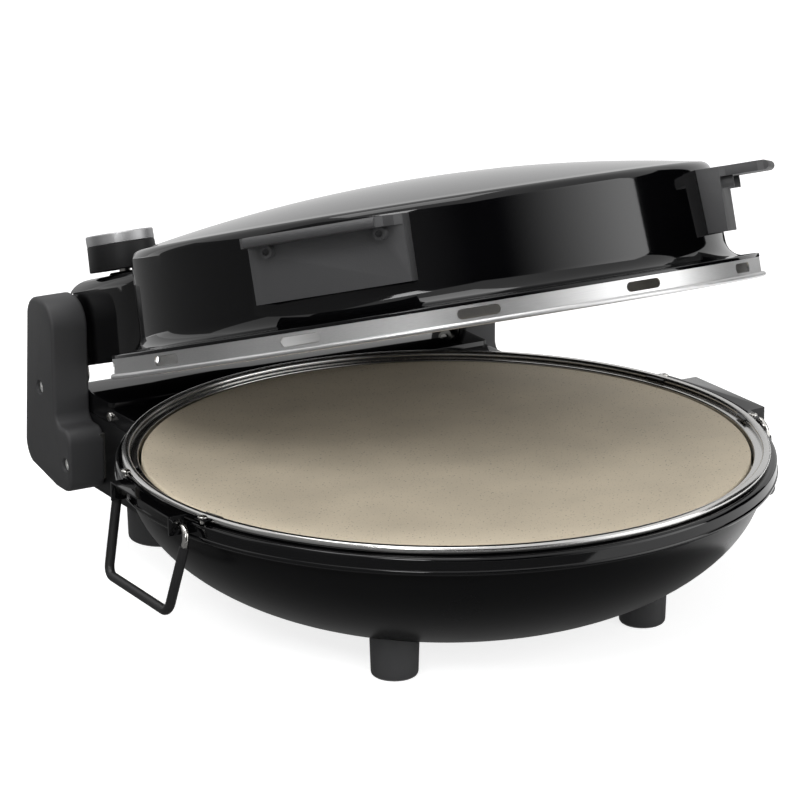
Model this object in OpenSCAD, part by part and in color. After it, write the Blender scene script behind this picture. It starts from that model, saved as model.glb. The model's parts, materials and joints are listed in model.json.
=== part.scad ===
// Electric pizza maker: a round baking stone in a bowl-shaped base, with a domed heating
// lid that turns between two hinge arms. Millimetres, +Z up. The bowl axis is the working
// centre line; the hinge lies towards +Y and the front towards -Y.

/* [Stone and pan] */
// Radius of the baking stone
stone_r = 157; // [150:0.5:160]
// Thickness of the baking stone
stone_t = 10; // [8:0.5:14]
// Width of the step round the stone's lower edge
stone_step = 2; // [1:0.5:4]
// Gap between the stone and the wall of the pan
stone_gap = 1.5; // [0.5:0.25:2.5]
// Width of the ledge that carries the stone
ledge_w = 10; // [6:1:14]
// Depth of the pan below the ledge
pan_depth = 20; // [14:1:24]
// Thickness of the pan's sheet
pan_t = 1; // [0.8:0.1:1.4]
// Outer radius of the bead round the pan
bead_r = 168; // [167:0.25:169]
// Radius of the bead's own round section
bead_section = 1.1; // [0.9:0.1:1.3]

/* [Base] */
// Outer radius of the black cover ring
cover_r = 171; // [170:0.5:175]
// Height of the cover ring's top above the table
cover_z = 85.5; // [80:0.5:92]
// Depth of the cover's skirt
skirt_h = 9; // [7:0.5:12]
// Thickness of the cover's sheet
cover_t = 1.6; // [1.2:0.1:2]
// Outer radius of the bowl's upright edge
bowl_r = 164; // [162:0.5:165]
// Radius of the bowl's flat bottom
bowl_flat_r = 86; // [70:1:92]
// Height of the bowl's flat bottom above the table
bowl_z = 13; // [11:0.5:18]
// Thickness of the bowl's sheet
bowl_t = 1.2; // [0.8:0.1:1.6]
// Height of the raised hinge deck above the cover's top
deck_rise = 2.5; // [1.5:0.5:3]
// Distance of the deck's front edge behind the bowl axis
deck_front_y = 152; // [140:1:160]

/* [Rear housing] */
// Half the width of the rear housing
housing_half_w = 117.5; // [112:0.5:118]
// Distance of the housing's rear face behind the bowl axis
housing_rear_y = 194; // [190:0.5:198]
// Height of the housing's underside above the table
housing_z = 34.5; // [30:0.5:40]
// Thickness of the housing's walls
housing_t = 2.5; // [2:0.25:3]
// Radius of the housing's rear corners
housing_corner_r = 8; // [5:0.5:12]
// Number of vent slots in the housing's rear wall
vent_n = 9; // [3:2:11]

/* [Feet] */
// Distance of the front feet from the bowl axis
foot_ring_r = 104.3; // [95:0.5:110]
// Radius of a front foot at its top
front_foot_r = 13; // [11:0.5:16]
// Distance of the rear feet behind the bowl axis
rear_foot_y = 172; // [168:0.5:173]
// Distance of the rear feet from the middle
rear_foot_x = 78; // [60:1:88]
// Radius of a rear foot at its top
rear_foot_r = 20; // [16:0.5:21]
// Amount by which a foot narrows towards the table
foot_taper = 1; // [0.5:0.25:1.5]
// Radius of the rounding under a foot
foot_round = 2.5; // [1:0.5:4]

/* [Hinge] */
// Distance of the hinge axis behind the bowl axis
hinge_y = 190.5; // [189:0.5:192]
// Height of the hinge axis above the table
hinge_z = 95.5; // [95.5:0.25:97]
// Angle by which the lid stands open
lid_open = 17.8; // [0:0.2:95]
// Width of a hinge arm
arm_w = 21.5; // [18:0.5:26]
// Distance of an arm's front face behind the bowl axis
arm_front_y = 177.1; // [175:0.1:180]
// Distance of an arm's rear face behind the bowl axis
arm_rear_y = 215; // [210:0.1:217]
// Amount by which an arm's rear face leans forwards at its top
arm_rear_lean = 6; // [0:0.5:8]
// Height of an arm's top above the table
arm_top_z = 139; // [134:1:146]
// Height of an arm's underside above the table
arm_low_z = 38; // [36:0.5:42]
// Distance of the boot's front behind the bowl axis
boot_front_y = 159.5; // [154:0.5:164]
// Height of the boot's top above the table
boot_top_z = 73; // [66:0.5:75]
// Radius of the hinge pins
pin_r = 3; // [2.5:0.1:3.2]
// Distance of the lower arm screws behind the bowl axis
arm_screw_y = 165; // [165:0.5:170]
// Height of the lower arm screws above the table
arm_screw_z = 53.5; // [52:0.5:58]
// Distance of the upper arm screws behind the hinge axis
upper_screw_back = 4; // [3:0.5:5]
// Depth of the upper arm screws below the hinge axis
upper_screw_drop = 6; // [5.5:0.5:8]
// Thickness of the hinge brackets
bracket_t = 2.8; // [2:0.1:3]

/* [Lid] */
// Height of the lid's lower edge above the table when it is shut
lid_z = 90.3; // [90.3:0.1:91]
// Outer radius of the slotted ring
ring_r = 167.4; // [166.8:0.2:168]
// Height of the slotted ring
ring_h = 10.3; // [9.8:0.1:12]
// Thickness of the slotted ring
ring_t = 0.9; // [0.7:0.1:1.2]
// Radius of the bead along the ring's lower edge
ring_bead = 1.3; // [1:0.1:1.5]
// Number of slots round the ring
slot_n = 12; // [6:1:12]
// Length of a slot
slot_l = 21; // [14:1:26]
// Height of a slot
slot_h = 4.8; // [3:0.2:5]
// Angle of the first slot from the front, towards the right
slot_turn = 7.5; // [0:0.5:30]
// Radius of the shell's wall at its foot
wall_low_r = 151.75; // [150:0.25:154]
// Radius of the shell's wall at its top
wall_top_r = 150; // [147:0.25:151]
// Height of the wall's top edge above the lid's lower edge
wall_top_h = 62.7; // [56:0.1:66]
// Height of the dome above the wall's top edge
dome_h = 14.2; // [8:0.2:22]
// Radius of the edge between wall and dome
dome_edge_r = 5; // [3:0.5:8]
// Radius of the hollow between wall and rim
shell_fillet_r = 9; // [6:0.5:10]
// Thickness of the shell
shell_t = 1.2; // [0.8:0.1:1.6]

/* [Console] */
// Gap between the console's side and the housing's side plane
console_play = 0.7; // [0.6:0.1:2]
// Distance of the console's rear face behind the bowl axis
console_rear_y = 193; // [192:0.25:193.5]
// Height of the console's underside above the lid's lower edge
console_low_h = 8.1; // [8.1:0.1:9]
// Height of the console's top above the lid's lower edge
console_top_h = 53.7; // [52:0.1:60]
// Radius of the console's upper rear edge
console_edge_r = 20; // [14:0.5:24]
// Radius of the console's upper side edges
console_side_r = 7; // [4:0.5:10]
// Thickness of the console's top and rear
console_t = 2.5; // [2:0.1:3]
// Thickness of the console's side walls
console_side_t = 5.5; // [5:0.1:6]

/* [Knob] */
// Distance of the knob from the middle, towards the left
knob_x = 97; // [90:0.5:98]
// Distance of the knob behind the bowl axis
knob_y = 155.5; // [152:0.5:160]
// Radius of the knob at its top
knob_r = 18.2; // [15:0.2:19]
// Amount by which the knob widens downwards
knob_flare = 0.6; // [0:0.1:1]
// Height of the knob's black body
knob_h = 13.8; // [10:0.2:16]
// Height of the knob's metal cap
cap_h = 5.8; // [3:0.1:7]
// Gap between the knob and the console
knob_gap = 2.7; // [2.3:0.1:4]
// Radius of the knob's shaft
shaft_r = 3; // [2.5:0.1:3.5]

/* [Lid handles] */
// Angle of the left handle from the front
handle_left_turn = 46.7; // [44:0.1:56]
// Angle of the right handle from the front
handle_right_turn = 53; // [44:0.1:56]
// Width of a lid handle
handle_w = 79; // [70:0.5:88]
// Thickness of a handle's upright plate
handle_plate_t = 4.4; // [3:0.1:6]
// Height of a handle
handle_h = 32.4; // [28:0.1:34]
// Height of a handle's top above the lid's lower edge
handle_top_h = 57.9; // [56:0.1:60]
// Thickness of the ribs that close a handle's ends towards the shell
handle_rib_t = 3.2; // [2:0.1:5]
// Amount by which the finger flange is narrower than the plate at either end
flange_inset = 3.5; // [0:0.5:5]
// Length of the screw bosses in front of a handle's plate
boss_l = 6; // [4:0.5:10]
// Reach of the finger flange from the plate
flange_reach = 24.6; // [18:0.2:30]
// Thickness of the finger flange
flange_t = 5; // [4:0.2:6]
// Distance of a handle's screws from its middle
handle_screw_x = 28.7; // [22:0.1:32]

/* [Carrying bails] */
// Distance of the brackets' outer edge from the bowl axis
bail_edge_x = 177; // [175.5:0.5:180]
// Distance of a bracket's near end from the bowl axis, towards the front
bail_near_lip_y = -33; // [-36:0.5:-30]
// Distance of a bracket's far end from the bowl axis, towards the hinge
bail_far_lip_y = 31.5; // [30:0.5:36]
// Distance of a bail's pivots from the bowl axis
bail_pivot_x = 171.2; // [171:0.1:172]
// Height of a bail's pivots below the bracket plate
bail_pivot_drop = 4.3; // [3.8:0.1:5]
// Radius of the bail's wire
wire_r = 1.75; // [1.5:0.05:2]
// Radius of the grip sleeve
grip_r = 2.5; // [2.2:0.05:3]
// Place of a bail's near leg at its pivot, from the bowl axis
bail_near_y = -41.5; // [-43:0.5:-41]
// Place of a bail's far leg at its pivot, from the bowl axis
bail_far_y = 34.5; // [34:0.5:38]
// Place of the near end of a bail's lower bar, from the bowl axis
bail_bar_near_y = -36.5; // [-40:0.5:-34]
// Place of the far end of a bail's lower bar, from the bowl axis
bail_bar_far_y = 29.5; // [28:0.5:34]
// Length of a bail below its pivots
bail_l = 43.5; // [40:0.5:48]
// Angle by which a bail leans outwards
bail_lean = 12; // [0:0.5:15]
// Radius of the bends in the wire
bail_bend_r = 6; // [5:0.5:7]
// Length of bare wire between a leg's upper bend and the grip sleeve
grip_drop = 2.5; // [1:0.5:6]

/* [Heaters] */
// Radius of the heating loops
element_r = 105; // [90:1:115]
// Radius of the heating tube
tube_r = 3.25; // [2.5:0.25:4]
// Distance between the two ends of a heating loop
element_gap = 28; // [24:1:36]
// Distance of a loop from the sheet that carries it
element_lift = 9; // [7.5:0.25:10]

/* [Hidden] */
$fn = 72;

// Clearances
slip = 0.05;
seat = 0.15;
bore_play = 0.05;
eps = 0.01;

// The origin lies on the table, in the middle of the whole outline
origin_y = (arm_rear_y - cover_r) / 2;

// Heights in the base
ledge_z = cover_z + pan_t - stone_t - 0.5;
pan_wall_r = stone_r + stone_gap;
pan_floor_z = ledge_z - pan_depth;
pan_floor_r = pan_wall_r - ledge_w;
bead_z = cover_z + bead_section + slip;
bead_play = 0.4;
bead_mid_r = bead_r - bead_section;
cover_hole_r = pan_wall_r + pan_t + 1.5;
cover_low_z = cover_z - skirt_h;
cover_under_z = cover_z - cover_t;
bowl_flange_r = cover_r - cover_t - 0.3;
bowl_curve_top_z = cover_low_z - 0.5;
bowl_curve_share = 0.25;
deck_z = cover_z + deck_rise;

// Bail brackets lie on the pan's bead
plate_t = 1;
plate_z = bead_z + bead_section;
plate_inner_r = pan_wall_r + 2.5;
lip_t = 1.5;
lip_h = 9;
tab_turn = 14.4;
tab_screw_r = bead_r + 0.5;
tab_r = 4.6;
small_screw_r = 1.5;
small_head_r = 2.2;
small_head_h = 1.1;
bail_pivot_z = plate_z - bail_pivot_drop;
lip_x = sqrt(pow(cover_r, 2) - pow(bail_far_lip_y - lip_t, 2)) + 0.3;

// Hinge arms and brackets
arm_inner_x = housing_half_w + 0.1;
arm_outer_x = arm_inner_x + arm_w;
arm_pocket = bracket_t + 0.2;
recess_depth = 4.5;
pin_end_x = arm_inner_x + 11;
screw_r = 2;
screw_head_r = 3.4;
screw_recess_r = 3.6;
lug_t = 2.5;
lug_r = 6.9;
lug_top_h = 42;
lug_gap = 0.4;
cover_screw_y = deck_front_y + 1;
cover_screw_z = cover_z - 5;

// The console is as wide as the rear housing, less its play between the arms
console_half_w = housing_half_w - console_play;

// Heights in the shut lid
ring_top_z = lid_z + ring_h;
slot_z = lid_z + 2 * ring_bead + slot_h / 2 + 1.3;
shell_rim_z = ring_top_z + 1.9;
wall_low_z = shell_rim_z + shell_fillet_r;
dome_edge_z = lid_z + wall_top_h;
console_low_z = lid_z + console_low_h;
console_top_z = lid_z + console_top_h;
reflector_t = 0.8;
reflector_rim_z = ring_top_z - ring_t - reflector_t;
reflector_h = 18.5;
reflector_roof_z = reflector_rim_z + reflector_h;
handle_top_z = lid_z + handle_top_h;
handle_low_z = handle_top_z - handle_h;
handle_back_r = wall_low_r + 0.2;
handle_face_r = handle_back_r + handle_plate_t;
boss_r = 3.2;
boss_z = handle_top_z - flange_t - boss_r + 0.3;
knob_low_z = console_top_z + knob_gap;
nut_r = 9;
nut_h = 1.4;
bush_r = 4.9;

// Points of an arc round a centre, from one angle to another
function arc(cx, cy, r, a0, a1, n = 6) =
    [for (i = [0 : n]) let (a = a0 + (a1 - a0) * i / n) [cx + r * cos(a), cy + r * sin(a)]];

// Bowl profile: a straight share and a round share, from the flat bottom to the upright edge
function bowl_curve(r_flat, r_top, z_flat, z_top, n = 12) =
    [for (i = [0 : n]) let (a = 90 * i / n)
        [r_flat + (r_top - r_flat) * sin(a),
         z_flat + (z_top - z_flat)
            * (bowl_curve_share * sin(a) + (1 - bowl_curve_share) * (1 - cos(a)))]];

// Dome profile from the middle out to the edge rounding
dome_r_mid = wall_top_r - dome_edge_r;
dome_sphere_r = (pow(dome_r_mid, 2) + pow(dome_h, 2)) / (2 * dome_h);
function dome_curve(inset, n = 10) =
    [for (i = [0 : n]) let (r = (dome_r_mid - inset / 3) * i / n)
        [r, dome_edge_z + dome_h - inset
            - (dome_sphere_r - sqrt(pow(dome_sphere_r, 2) - pow(r, 2)))]];

// Outer profile of the lid shell, from the middle of the dome down to its rim
function shell_curve(inset) = concat(
    dome_curve(inset),
    arc(wall_top_r - dome_edge_r, dome_edge_z - dome_edge_r, dome_edge_r - inset, 80, 0, 5),
    arc(wall_low_r + shell_fillet_r, wall_low_z, shell_fillet_r + inset, 180, 270, 6),
    [[ring_r + 0.2 - inset * 0, shell_rim_z - inset]]);

// Places in the model: everything is drawn about the bowl axis
module about_bowl_axis() {
    translate([0, -origin_y, 0]) children();
}

module on_open_lid() {
    about_bowl_axis()
    translate([0, hinge_y, hinge_z])
    rotate([-lid_open, 0, 0])
    translate([0, -hinge_y, -hinge_z])
    children();
}

// side is 1 on the right and -1 on the left
module on_side(side) {
    scale_x = side;
    if (scale_x > 0) children();
    else mirror([1, 0, 0]) children();
}

// A cylinder along X between two places
module rod_x(x0, x1, r) {
    translate([x0, 0, 0]) rotate([0, 90, 0]) cylinder(h = x1 - x0, r = r);
}

// A cylinder along Y between two places
module rod_y(y0, y1, r) {
    translate([0, y0, 0]) rotate([-90, 0, 0]) cylinder(h = y1 - y0, r = r);
}

module rounded_rect(x0, x1, y0, y1, r) {
    translate([x0 + r, y0]) square([x1 - x0 - 2 * r, y1 - y0]);
    translate([x0, y0 + r]) square([x1 - x0, y1 - y0 - 2 * r]);
    for (x = [x0 + r, x1 - r], y = [y0 + r, y1 - r]) translate([x, y]) circle(r);
}

// A side outline in Y and Z, given thickness along X from x0 to x1
module extrude_x(x0, x1) {
    translate([x0, 0, 0])
    rotate([90, 0, 90])
    linear_extrude(x1 - x0) children();
}

// The bowl as a filled solid, grown by a clearance
module bowl_solid(extra) {
    rotate_extrude() polygon(concat(
        [[0, bowl_z - extra]],
        bowl_curve(bowl_flat_r, bowl_r + extra, bowl_z - extra, bowl_curve_top_z - extra),
        [[bowl_r + extra, cover_under_z + 1], [0, cover_under_z + 1]]));
}

// Vertical places that repeat
module at_front_feet() {
    for (s = [-1, 1]) at_front_foot(s) children();
}

module at_front_foot(s) {
    translate([s * foot_ring_r * sin(45), -foot_ring_r * cos(45), 0]) children();
}

module at_rear_foot(s) {
    translate([s * rear_foot_x, rear_foot_y, 0]) children();
}

module at_all_feet() {
    for (s = [-1, 1]) {
        at_front_foot(s) children();
        at_rear_foot(s) children();
    }
}

module at_bail_tabs() {
    for (s = [-1, 1]) on_side(s) at_bail_tab_pair() children();
}

module at_bail_tab_pair() {
    for (t = [-tab_turn, tab_turn])
        rotate([0, 0, t]) translate([tab_screw_r, 0, 0]) children();
}

module bail_tab_holes(z0, z1) {
    at_bail_tabs() translate([0, 0, z0]) cylinder(h = z1 - z0, r = small_screw_r + slip, $fn = 24);
}

// Base

module base_bowl() color([0.07, 0.07, 0.07]) about_bowl_axis() {
    difference() {
        rotate_extrude() polygon(concat(
            [[0, bowl_z]],
            bowl_curve(bowl_flat_r, bowl_r, bowl_z, bowl_curve_top_z),
            [[bowl_r, cover_under_z - bowl_t], [bowl_flange_r, cover_under_z - bowl_t],
             [bowl_flange_r, cover_under_z], [bowl_r - bowl_t, cover_under_z]],
            [for (p = bowl_curve(bowl_flat_r, bowl_r - bowl_t, bowl_z + bowl_t,
                                 bowl_curve_top_z)) p][12] == undef ? []
                : [for (i = [12 : -1 : 0]) bowl_curve(bowl_flat_r, bowl_r - bowl_t,
                                                      bowl_z + bowl_t, bowl_curve_top_z)[i]],
            [[0, bowl_z + bowl_t]]));
        at_front_feet() cylinder(h = bowl_curve_top_z, r = screw_r + slip, $fn = 24);
        bail_tab_holes(cover_under_z - 2 * bowl_t, cover_under_z + 1);
        // Passage for the wires into the rear housing
        translate([-20, 140, 58]) cube([40, 40, 12]);
    }
}

module pan_profile() {
    polygon([
        [0, pan_floor_z], [pan_floor_r, pan_floor_z], [pan_floor_r, ledge_z - pan_t],
        [pan_wall_r + pan_t, ledge_z - pan_t], [pan_wall_r + pan_t, cover_z],
        [bead_mid_r, cover_z], [bead_mid_r, cover_z + pan_t],
        [pan_wall_r, cover_z + pan_t], [pan_wall_r, ledge_z],
        [pan_floor_r - pan_t, ledge_z], [pan_floor_r - pan_t, pan_floor_z + pan_t],
        [0, pan_floor_z + pan_t]
    ]);
}

module at_element_ends() {
    for (s = [-1, 1])
        translate([s * element_gap / 2, sqrt(pow(element_r, 2) - pow(element_gap / 2, 2)), 0])
            children();
}

module heater_pan() color([0.78, 0.78, 0.77]) about_bowl_axis() {
    difference() {
        rotate_extrude() {
            pan_profile();
            translate([bead_mid_r, bead_z]) circle(bead_section, $fn = 24);
        }
        at_element_ends() translate([0, 0, pan_floor_z - 1])
            cylinder(h = pan_t + 2, r = tube_r + 0.6, $fn = 32);
        bail_tab_holes(cover_z - 1, plate_z + 1);
    }
}

module pizza_stone() color([0.86, 0.80, 0.68]) about_bowl_axis() {
    translate([0, 0, ledge_z]) rotate_extrude() polygon(concat(
        [[0, 0], [stone_r - stone_step, 0], [stone_r - stone_step, stone_t / 3],
         [stone_r, stone_t / 3]],
        arc(stone_r - 1.5, stone_t - 1.5, 1.5, 0, 90, 3),
        [[0, stone_t]]));
}

// A heating loop whose two ends turn off along Z by the given length
module element_loop(z, leg) {
    gap_turn = asin(element_gap / 2 / element_r);
    translate([0, 0, z]) {
        rotate([0, 0, 90 + gap_turn]) rotate_extrude(angle = 360 - 2 * gap_turn)
            translate([element_r, 0]) circle(tube_r, $fn = 32);
        at_element_ends() {
            sphere(tube_r + 0.1, $fn = 32);
            translate([0, 0, min(0, leg)]) cylinder(h = abs(leg), r = tube_r, $fn = 32);
        }
    }
}

// Saddles that hold a loop; z0 is the sheet and z1 the middle of the tube
module element_saddles(z0, z1) {
    low = min(z0, z1);
    high = max(z0, z1);
    difference() {
        for (t = [0, 120, 240]) rotate([0, 0, t - 90])
            translate([element_r - 7, -4, low]) cube([14, 8, high - low]);
        translate([0, 0, z1]) rotate_extrude()
            translate([element_r, 0]) circle(tube_r + slip, $fn = 32);
    }
}

module terminal_block(z0, z1) {
    end_y = sqrt(pow(element_r, 2) - pow(element_gap / 2, 2));
    difference() {
        translate([-element_gap / 2 - 9, end_y - 9, z0])
            cube([element_gap + 18, 18, z1 - z0]);
        at_element_ends() translate([0, 0, z0 - 1])
            cylinder(h = z1 - z0 + 2, r = tube_r + slip, $fn = 32);
    }
}

lower_element_z = pan_floor_z + pan_t + element_lift;

module lower_element() color([0.35, 0.36, 0.36]) about_bowl_axis()
    element_loop(lower_element_z, -element_lift - pan_t - 15);

module lower_element_clips() color([0.6, 0.6, 0.6]) about_bowl_axis()
    element_saddles(pan_floor_z + pan_t, lower_element_z);

module lower_terminal_block() color([0.9, 0.88, 0.82]) about_bowl_axis()
    terminal_block(pan_floor_z - 10, pan_floor_z);

// Outline of the cover seen from above: the ring and the straight-sided hinge deck
module cover_outline(inset) {
    circle(cover_r - inset, $fn = 120);
    rounded_rect(-housing_half_w + inset, housing_half_w - inset, 0,
                 housing_rear_y - inset, housing_corner_r);
}

module base_cover() color([0.03, 0.03, 0.03]) about_bowl_axis() {
    lip = 1;
    difference() {
        union() {
            // Ring with its rounded shoulder and the roll along its lower edge
            rotate_extrude($fn = 120) difference() {
                union() {
                    polygon(concat(
                        [[0, cover_low_z], [cover_r - 0.6, cover_low_z]],
                        arc(cover_r - 2.6, cover_z - 2, 2, 0, 90, 4),
                        [[0, cover_z]]));
                    translate([cover_r - 1.4, cover_low_z + 1.4]) circle(1.4, $fn = 24);
                }
                translate([-1, 0]) square([1, cover_z * 2]);
            }
            // Straight-sided rear part
            translate([0, 0, cover_low_z]) linear_extrude(skirt_h)
                rounded_rect(-housing_half_w, housing_half_w, 60, housing_rear_y,
                             housing_corner_r);
            // Raised hinge deck
            translate([0, 0, cover_low_z]) linear_extrude(skirt_h + deck_rise)
                rounded_rect(-housing_half_w, housing_half_w, deck_front_y, housing_rear_y,
                             3);
        }
        // Hollow under the sheet
        translate([0, 0, cover_low_z - 1]) linear_extrude(skirt_h + 1 - cover_t) {
            circle(cover_r - cover_t - 0.2, $fn = 120);
            rounded_rect(-housing_half_w + cover_t, housing_half_w - cover_t, 0,
                         housing_rear_y - cover_t, housing_corner_r - cover_t);
        }
        translate([0, 0, cover_low_z]) linear_extrude(skirt_h + deck_rise - cover_t)
            difference() {
                rounded_rect(-housing_half_w + cover_t, housing_half_w - cover_t,
                             deck_front_y + cover_t, housing_rear_y - cover_t, 3);
                circle(bead_r + bead_play + cover_t, $fn = 120);
            }
        // The deck stops round the pan's bead
        translate([0, 0, cover_z]) cylinder(h = 2 * deck_rise, r = bead_r + bead_play, $fn = 120);
        // Opening for the pan
        cylinder(h = deck_z + lip, r = cover_hole_r, $fn = 120);
        bail_tab_holes(cover_under_z - 2.2, cover_z + 1);
        for (s = [-1, 1]) on_side(s) translate([0, cover_screw_y, cover_screw_z])
            rod_x(housing_half_w - cover_t - 1, housing_half_w + 1, small_screw_r + slip);
    }
}

// Rear housing

module housing_block(z0, z1, inset) {
    translate([0, 0, z0]) linear_extrude(z1 - z0)
        rounded_rect(-housing_half_w + inset, housing_half_w - inset, 100 + inset,
                     housing_rear_y - inset, housing_corner_r - inset * 0.8);
}

gland_x = 62;
gland_z = housing_z + 18;
gland_r = 6;
housing_top_z = cover_low_z - 0.1;
housing_floor_t = 2;

module rear_housing() color([0.05, 0.05, 0.05]) about_bowl_axis() {
    floor_top = housing_z + housing_floor_t;
    vent_w = 3;
    vent_pitch = 8;
    difference() {
        housing_block(floor_top, housing_top_z, 0);
        housing_block(floor_top - 1, housing_top_z + 1, housing_t);
        bowl_solid(0.3);
        for (i = [0 : vent_n - 1])
            translate([(i - (vent_n - 1) / 2) * vent_pitch - vent_w / 2 - 14,
                       housing_rear_y - housing_t - 1, floor_top + 10])
                cube([vent_w, housing_t + 2, 18]);
        translate([gland_x, 0, gland_z])
            rod_y(housing_rear_y - housing_t - 1, housing_rear_y + 1, gland_r + slip);
        for (s = [-1, 1]) on_side(s) translate([0, arm_screw_y, arm_screw_z])
            rod_x(housing_half_w - housing_t - 1, housing_half_w + 1, screw_r + bore_play);
    }
}

module rear_housing_floor() color([0.05, 0.05, 0.05]) about_bowl_axis() {
    difference() {
        housing_block(housing_z, housing_z + housing_floor_t, 0);
        bowl_solid(0.3);
        for (s = [-1, 1]) at_rear_foot(s)
            cylinder(h = housing_z + 10, r = screw_r + slip, $fn = 24);
    }
}

module cord_gland() color([0.05, 0.05, 0.05]) about_bowl_axis() {
    translate([gland_x, 0, gland_z]) difference() {
        union() {
            rod_y(housing_rear_y - housing_t - 4, housing_rear_y + eps, gland_r);
            rod_y(housing_rear_y, housing_rear_y + 3, gland_r + 3);
            rod_y(housing_rear_y, housing_rear_y + 8, gland_r - 1);
        }
        rod_y(housing_rear_y - housing_t - 5, housing_rear_y + 9, 3.6);
    }
}

// Feet

foot_recess_r = 4.6;
foot_recess_h = 7;

module foot_body(r, h) {
    rotate_extrude() polygon(concat(
        [[0, 0], [r - foot_taper - foot_round, 0]],
        arc(r - foot_taper - foot_round, foot_round, foot_round, -90, 0, 4),
        [[r, h], [0, h]]));
}

module foot_bore(h) {
    translate([0, 0, -1]) cylinder(h = foot_recess_h + 1, r = foot_recess_r, $fn = 32);
    translate([0, 0, -1]) cylinder(h = h + 2, r = screw_r + slip, $fn = 24);
}

module front_foot(s) color([0.10, 0.10, 0.10]) about_bowl_axis() {
    h = bowl_z + 22;
    difference() {
        at_front_foot(s) difference() {
            foot_body(front_foot_r, h);
            foot_bore(h);
        }
        bowl_solid(seat);
    }
}

module rear_foot(s) color([0.10, 0.10, 0.10]) about_bowl_axis() {
    at_rear_foot(s) difference() {
        foot_body(rear_foot_r, housing_z);
        foot_bore(housing_z);
    }
}

module front_foot_left() front_foot(-1);
module front_foot_right() front_foot(1);
module rear_foot_left() rear_foot(-1);
module rear_foot_right() rear_foot(1);

module foot_screw(top_z) {
    translate([0, 0, foot_recess_h - 2.6]) cylinder(h = 2.6, r = foot_recess_r - 0.6, $fn = 32);
    translate([0, 0, foot_recess_h - 1]) cylinder(h = top_z - foot_recess_h + 1, r = screw_r,
                                                  $fn = 24);
}

module foot_screws() color([0.7, 0.7, 0.7]) about_bowl_axis() {
    at_front_feet() foot_screw(bowl_z + 16);
    for (s = [-1, 1]) at_rear_foot(s) foot_screw(housing_z + 6);
}

// Hinge arms: upright post with a rounded top and a boot that reaches forwards

module arm_outline() {
    top_front_r = 15;
    top_rear_r = 12;
    boot_r = 8;
    inner_r = 6;
    heel_z = arm_low_z + 18;
    polygon(concat(
        arc(boot_front_y + boot_r, arm_low_z + boot_r, boot_r, 180, 270, 5),
        [[arm_front_y, arm_low_z]],
        arc(arm_rear_y - 14, heel_z, 14, -62, 0, 5),
        arc(arm_rear_y - arm_rear_lean - top_rear_r, arm_top_z - top_rear_r, top_rear_r,
            0, 90, 5),
        arc(arm_front_y + top_front_r, arm_top_z - top_front_r, top_front_r, 90, 180, 6),
        arc(arm_front_y - inner_r, boot_top_z + inner_r, inner_r, 0, -90, 4),
        arc(boot_front_y + boot_r, boot_top_z - boot_r, boot_r, 90, 180, 5)));
}

// Steel bracket inside an arm, from the lower screw up to the hinge pin
module bracket_outline(extra) {
    low_z = arm_low_z + 6;
    waist = 8;
    polygon([
        [arm_screw_y - 5 - extra, low_z - extra],
        [hinge_y + 6 + extra, low_z + 6 - extra],
        [hinge_y + waist + extra, low_z + 14],
        [hinge_y + waist + extra, hinge_z],
        [hinge_y - waist - extra, hinge_z],
        [hinge_y - waist - extra, boot_top_z - 2],
        [arm_screw_y - 5 - extra, boot_top_z - 4 + extra]
    ]);
    translate([hinge_y, hinge_z]) circle(waist + extra, $fn = 48);
}

module pin_bore() {
    translate([0, hinge_y, hinge_z])
        rod_x(arm_inner_x - 1, pin_end_x + 0.2, pin_r + bore_play);
}

module at_arm_screws() {
    translate([0, arm_screw_y, arm_screw_z]) children();
    translate([0, hinge_y + upper_screw_back, hinge_z - upper_screw_drop]) children();
}

module hinge_arm(side) color([0.14, 0.14, 0.14]) about_bowl_axis() on_side(side) {
    difference() {
        extrude_x(arm_inner_x, arm_outer_x) arm_outline();
        extrude_x(arm_inner_x - 1, arm_inner_x + arm_pocket) bracket_outline(seat);
        pin_bore();
        at_arm_screws() rod_x(arm_inner_x - 1, arm_outer_x + 1, screw_r + bore_play);
        at_arm_screws() rod_x(arm_outer_x - recess_depth, arm_outer_x + 1, screw_recess_r);
    }
}

module hinge_bracket(side) color([0.62, 0.62, 0.60]) about_bowl_axis() on_side(side) {
    difference() {
        extrude_x(arm_inner_x, arm_inner_x + bracket_t) bracket_outline(0);
        pin_bore();
        at_arm_screws() rod_x(arm_inner_x - 1, arm_inner_x + bracket_t + 1, screw_r + bore_play);
    }
}

module hinge_pin(side) color([0.72, 0.72, 0.72]) about_bowl_axis() on_side(side) {
    translate([0, hinge_y, hinge_z]) rod_x(console_half_w - lug_t - 0.8, pin_end_x, pin_r);
}

module hinge_arm_left() hinge_arm(-1);
module hinge_arm_right() hinge_arm(1);
module hinge_bracket_left() hinge_bracket(-1);
module hinge_bracket_right() hinge_bracket(1);
module hinge_pin_left() hinge_pin(-1);
module hinge_pin_right() hinge_pin(1);

module arm_screws() color([0.72, 0.72, 0.72]) about_bowl_axis() {
    for (s = [-1, 1]) on_side(s) {
        translate([0, arm_screw_y, arm_screw_z])
            rod_x(housing_half_w - housing_t - 4, arm_inner_x + 1, screw_r);
        at_arm_screws() difference() {
            union() {
                rod_x(arm_inner_x + 0.2, arm_outer_x - recess_depth + 1, screw_r);
                rod_x(arm_outer_x - recess_depth, arm_outer_x - 1.8, screw_head_r);
            }
            rod_x(arm_outer_x - 3, arm_outer_x, 1.3);
        }
    }
}

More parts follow.
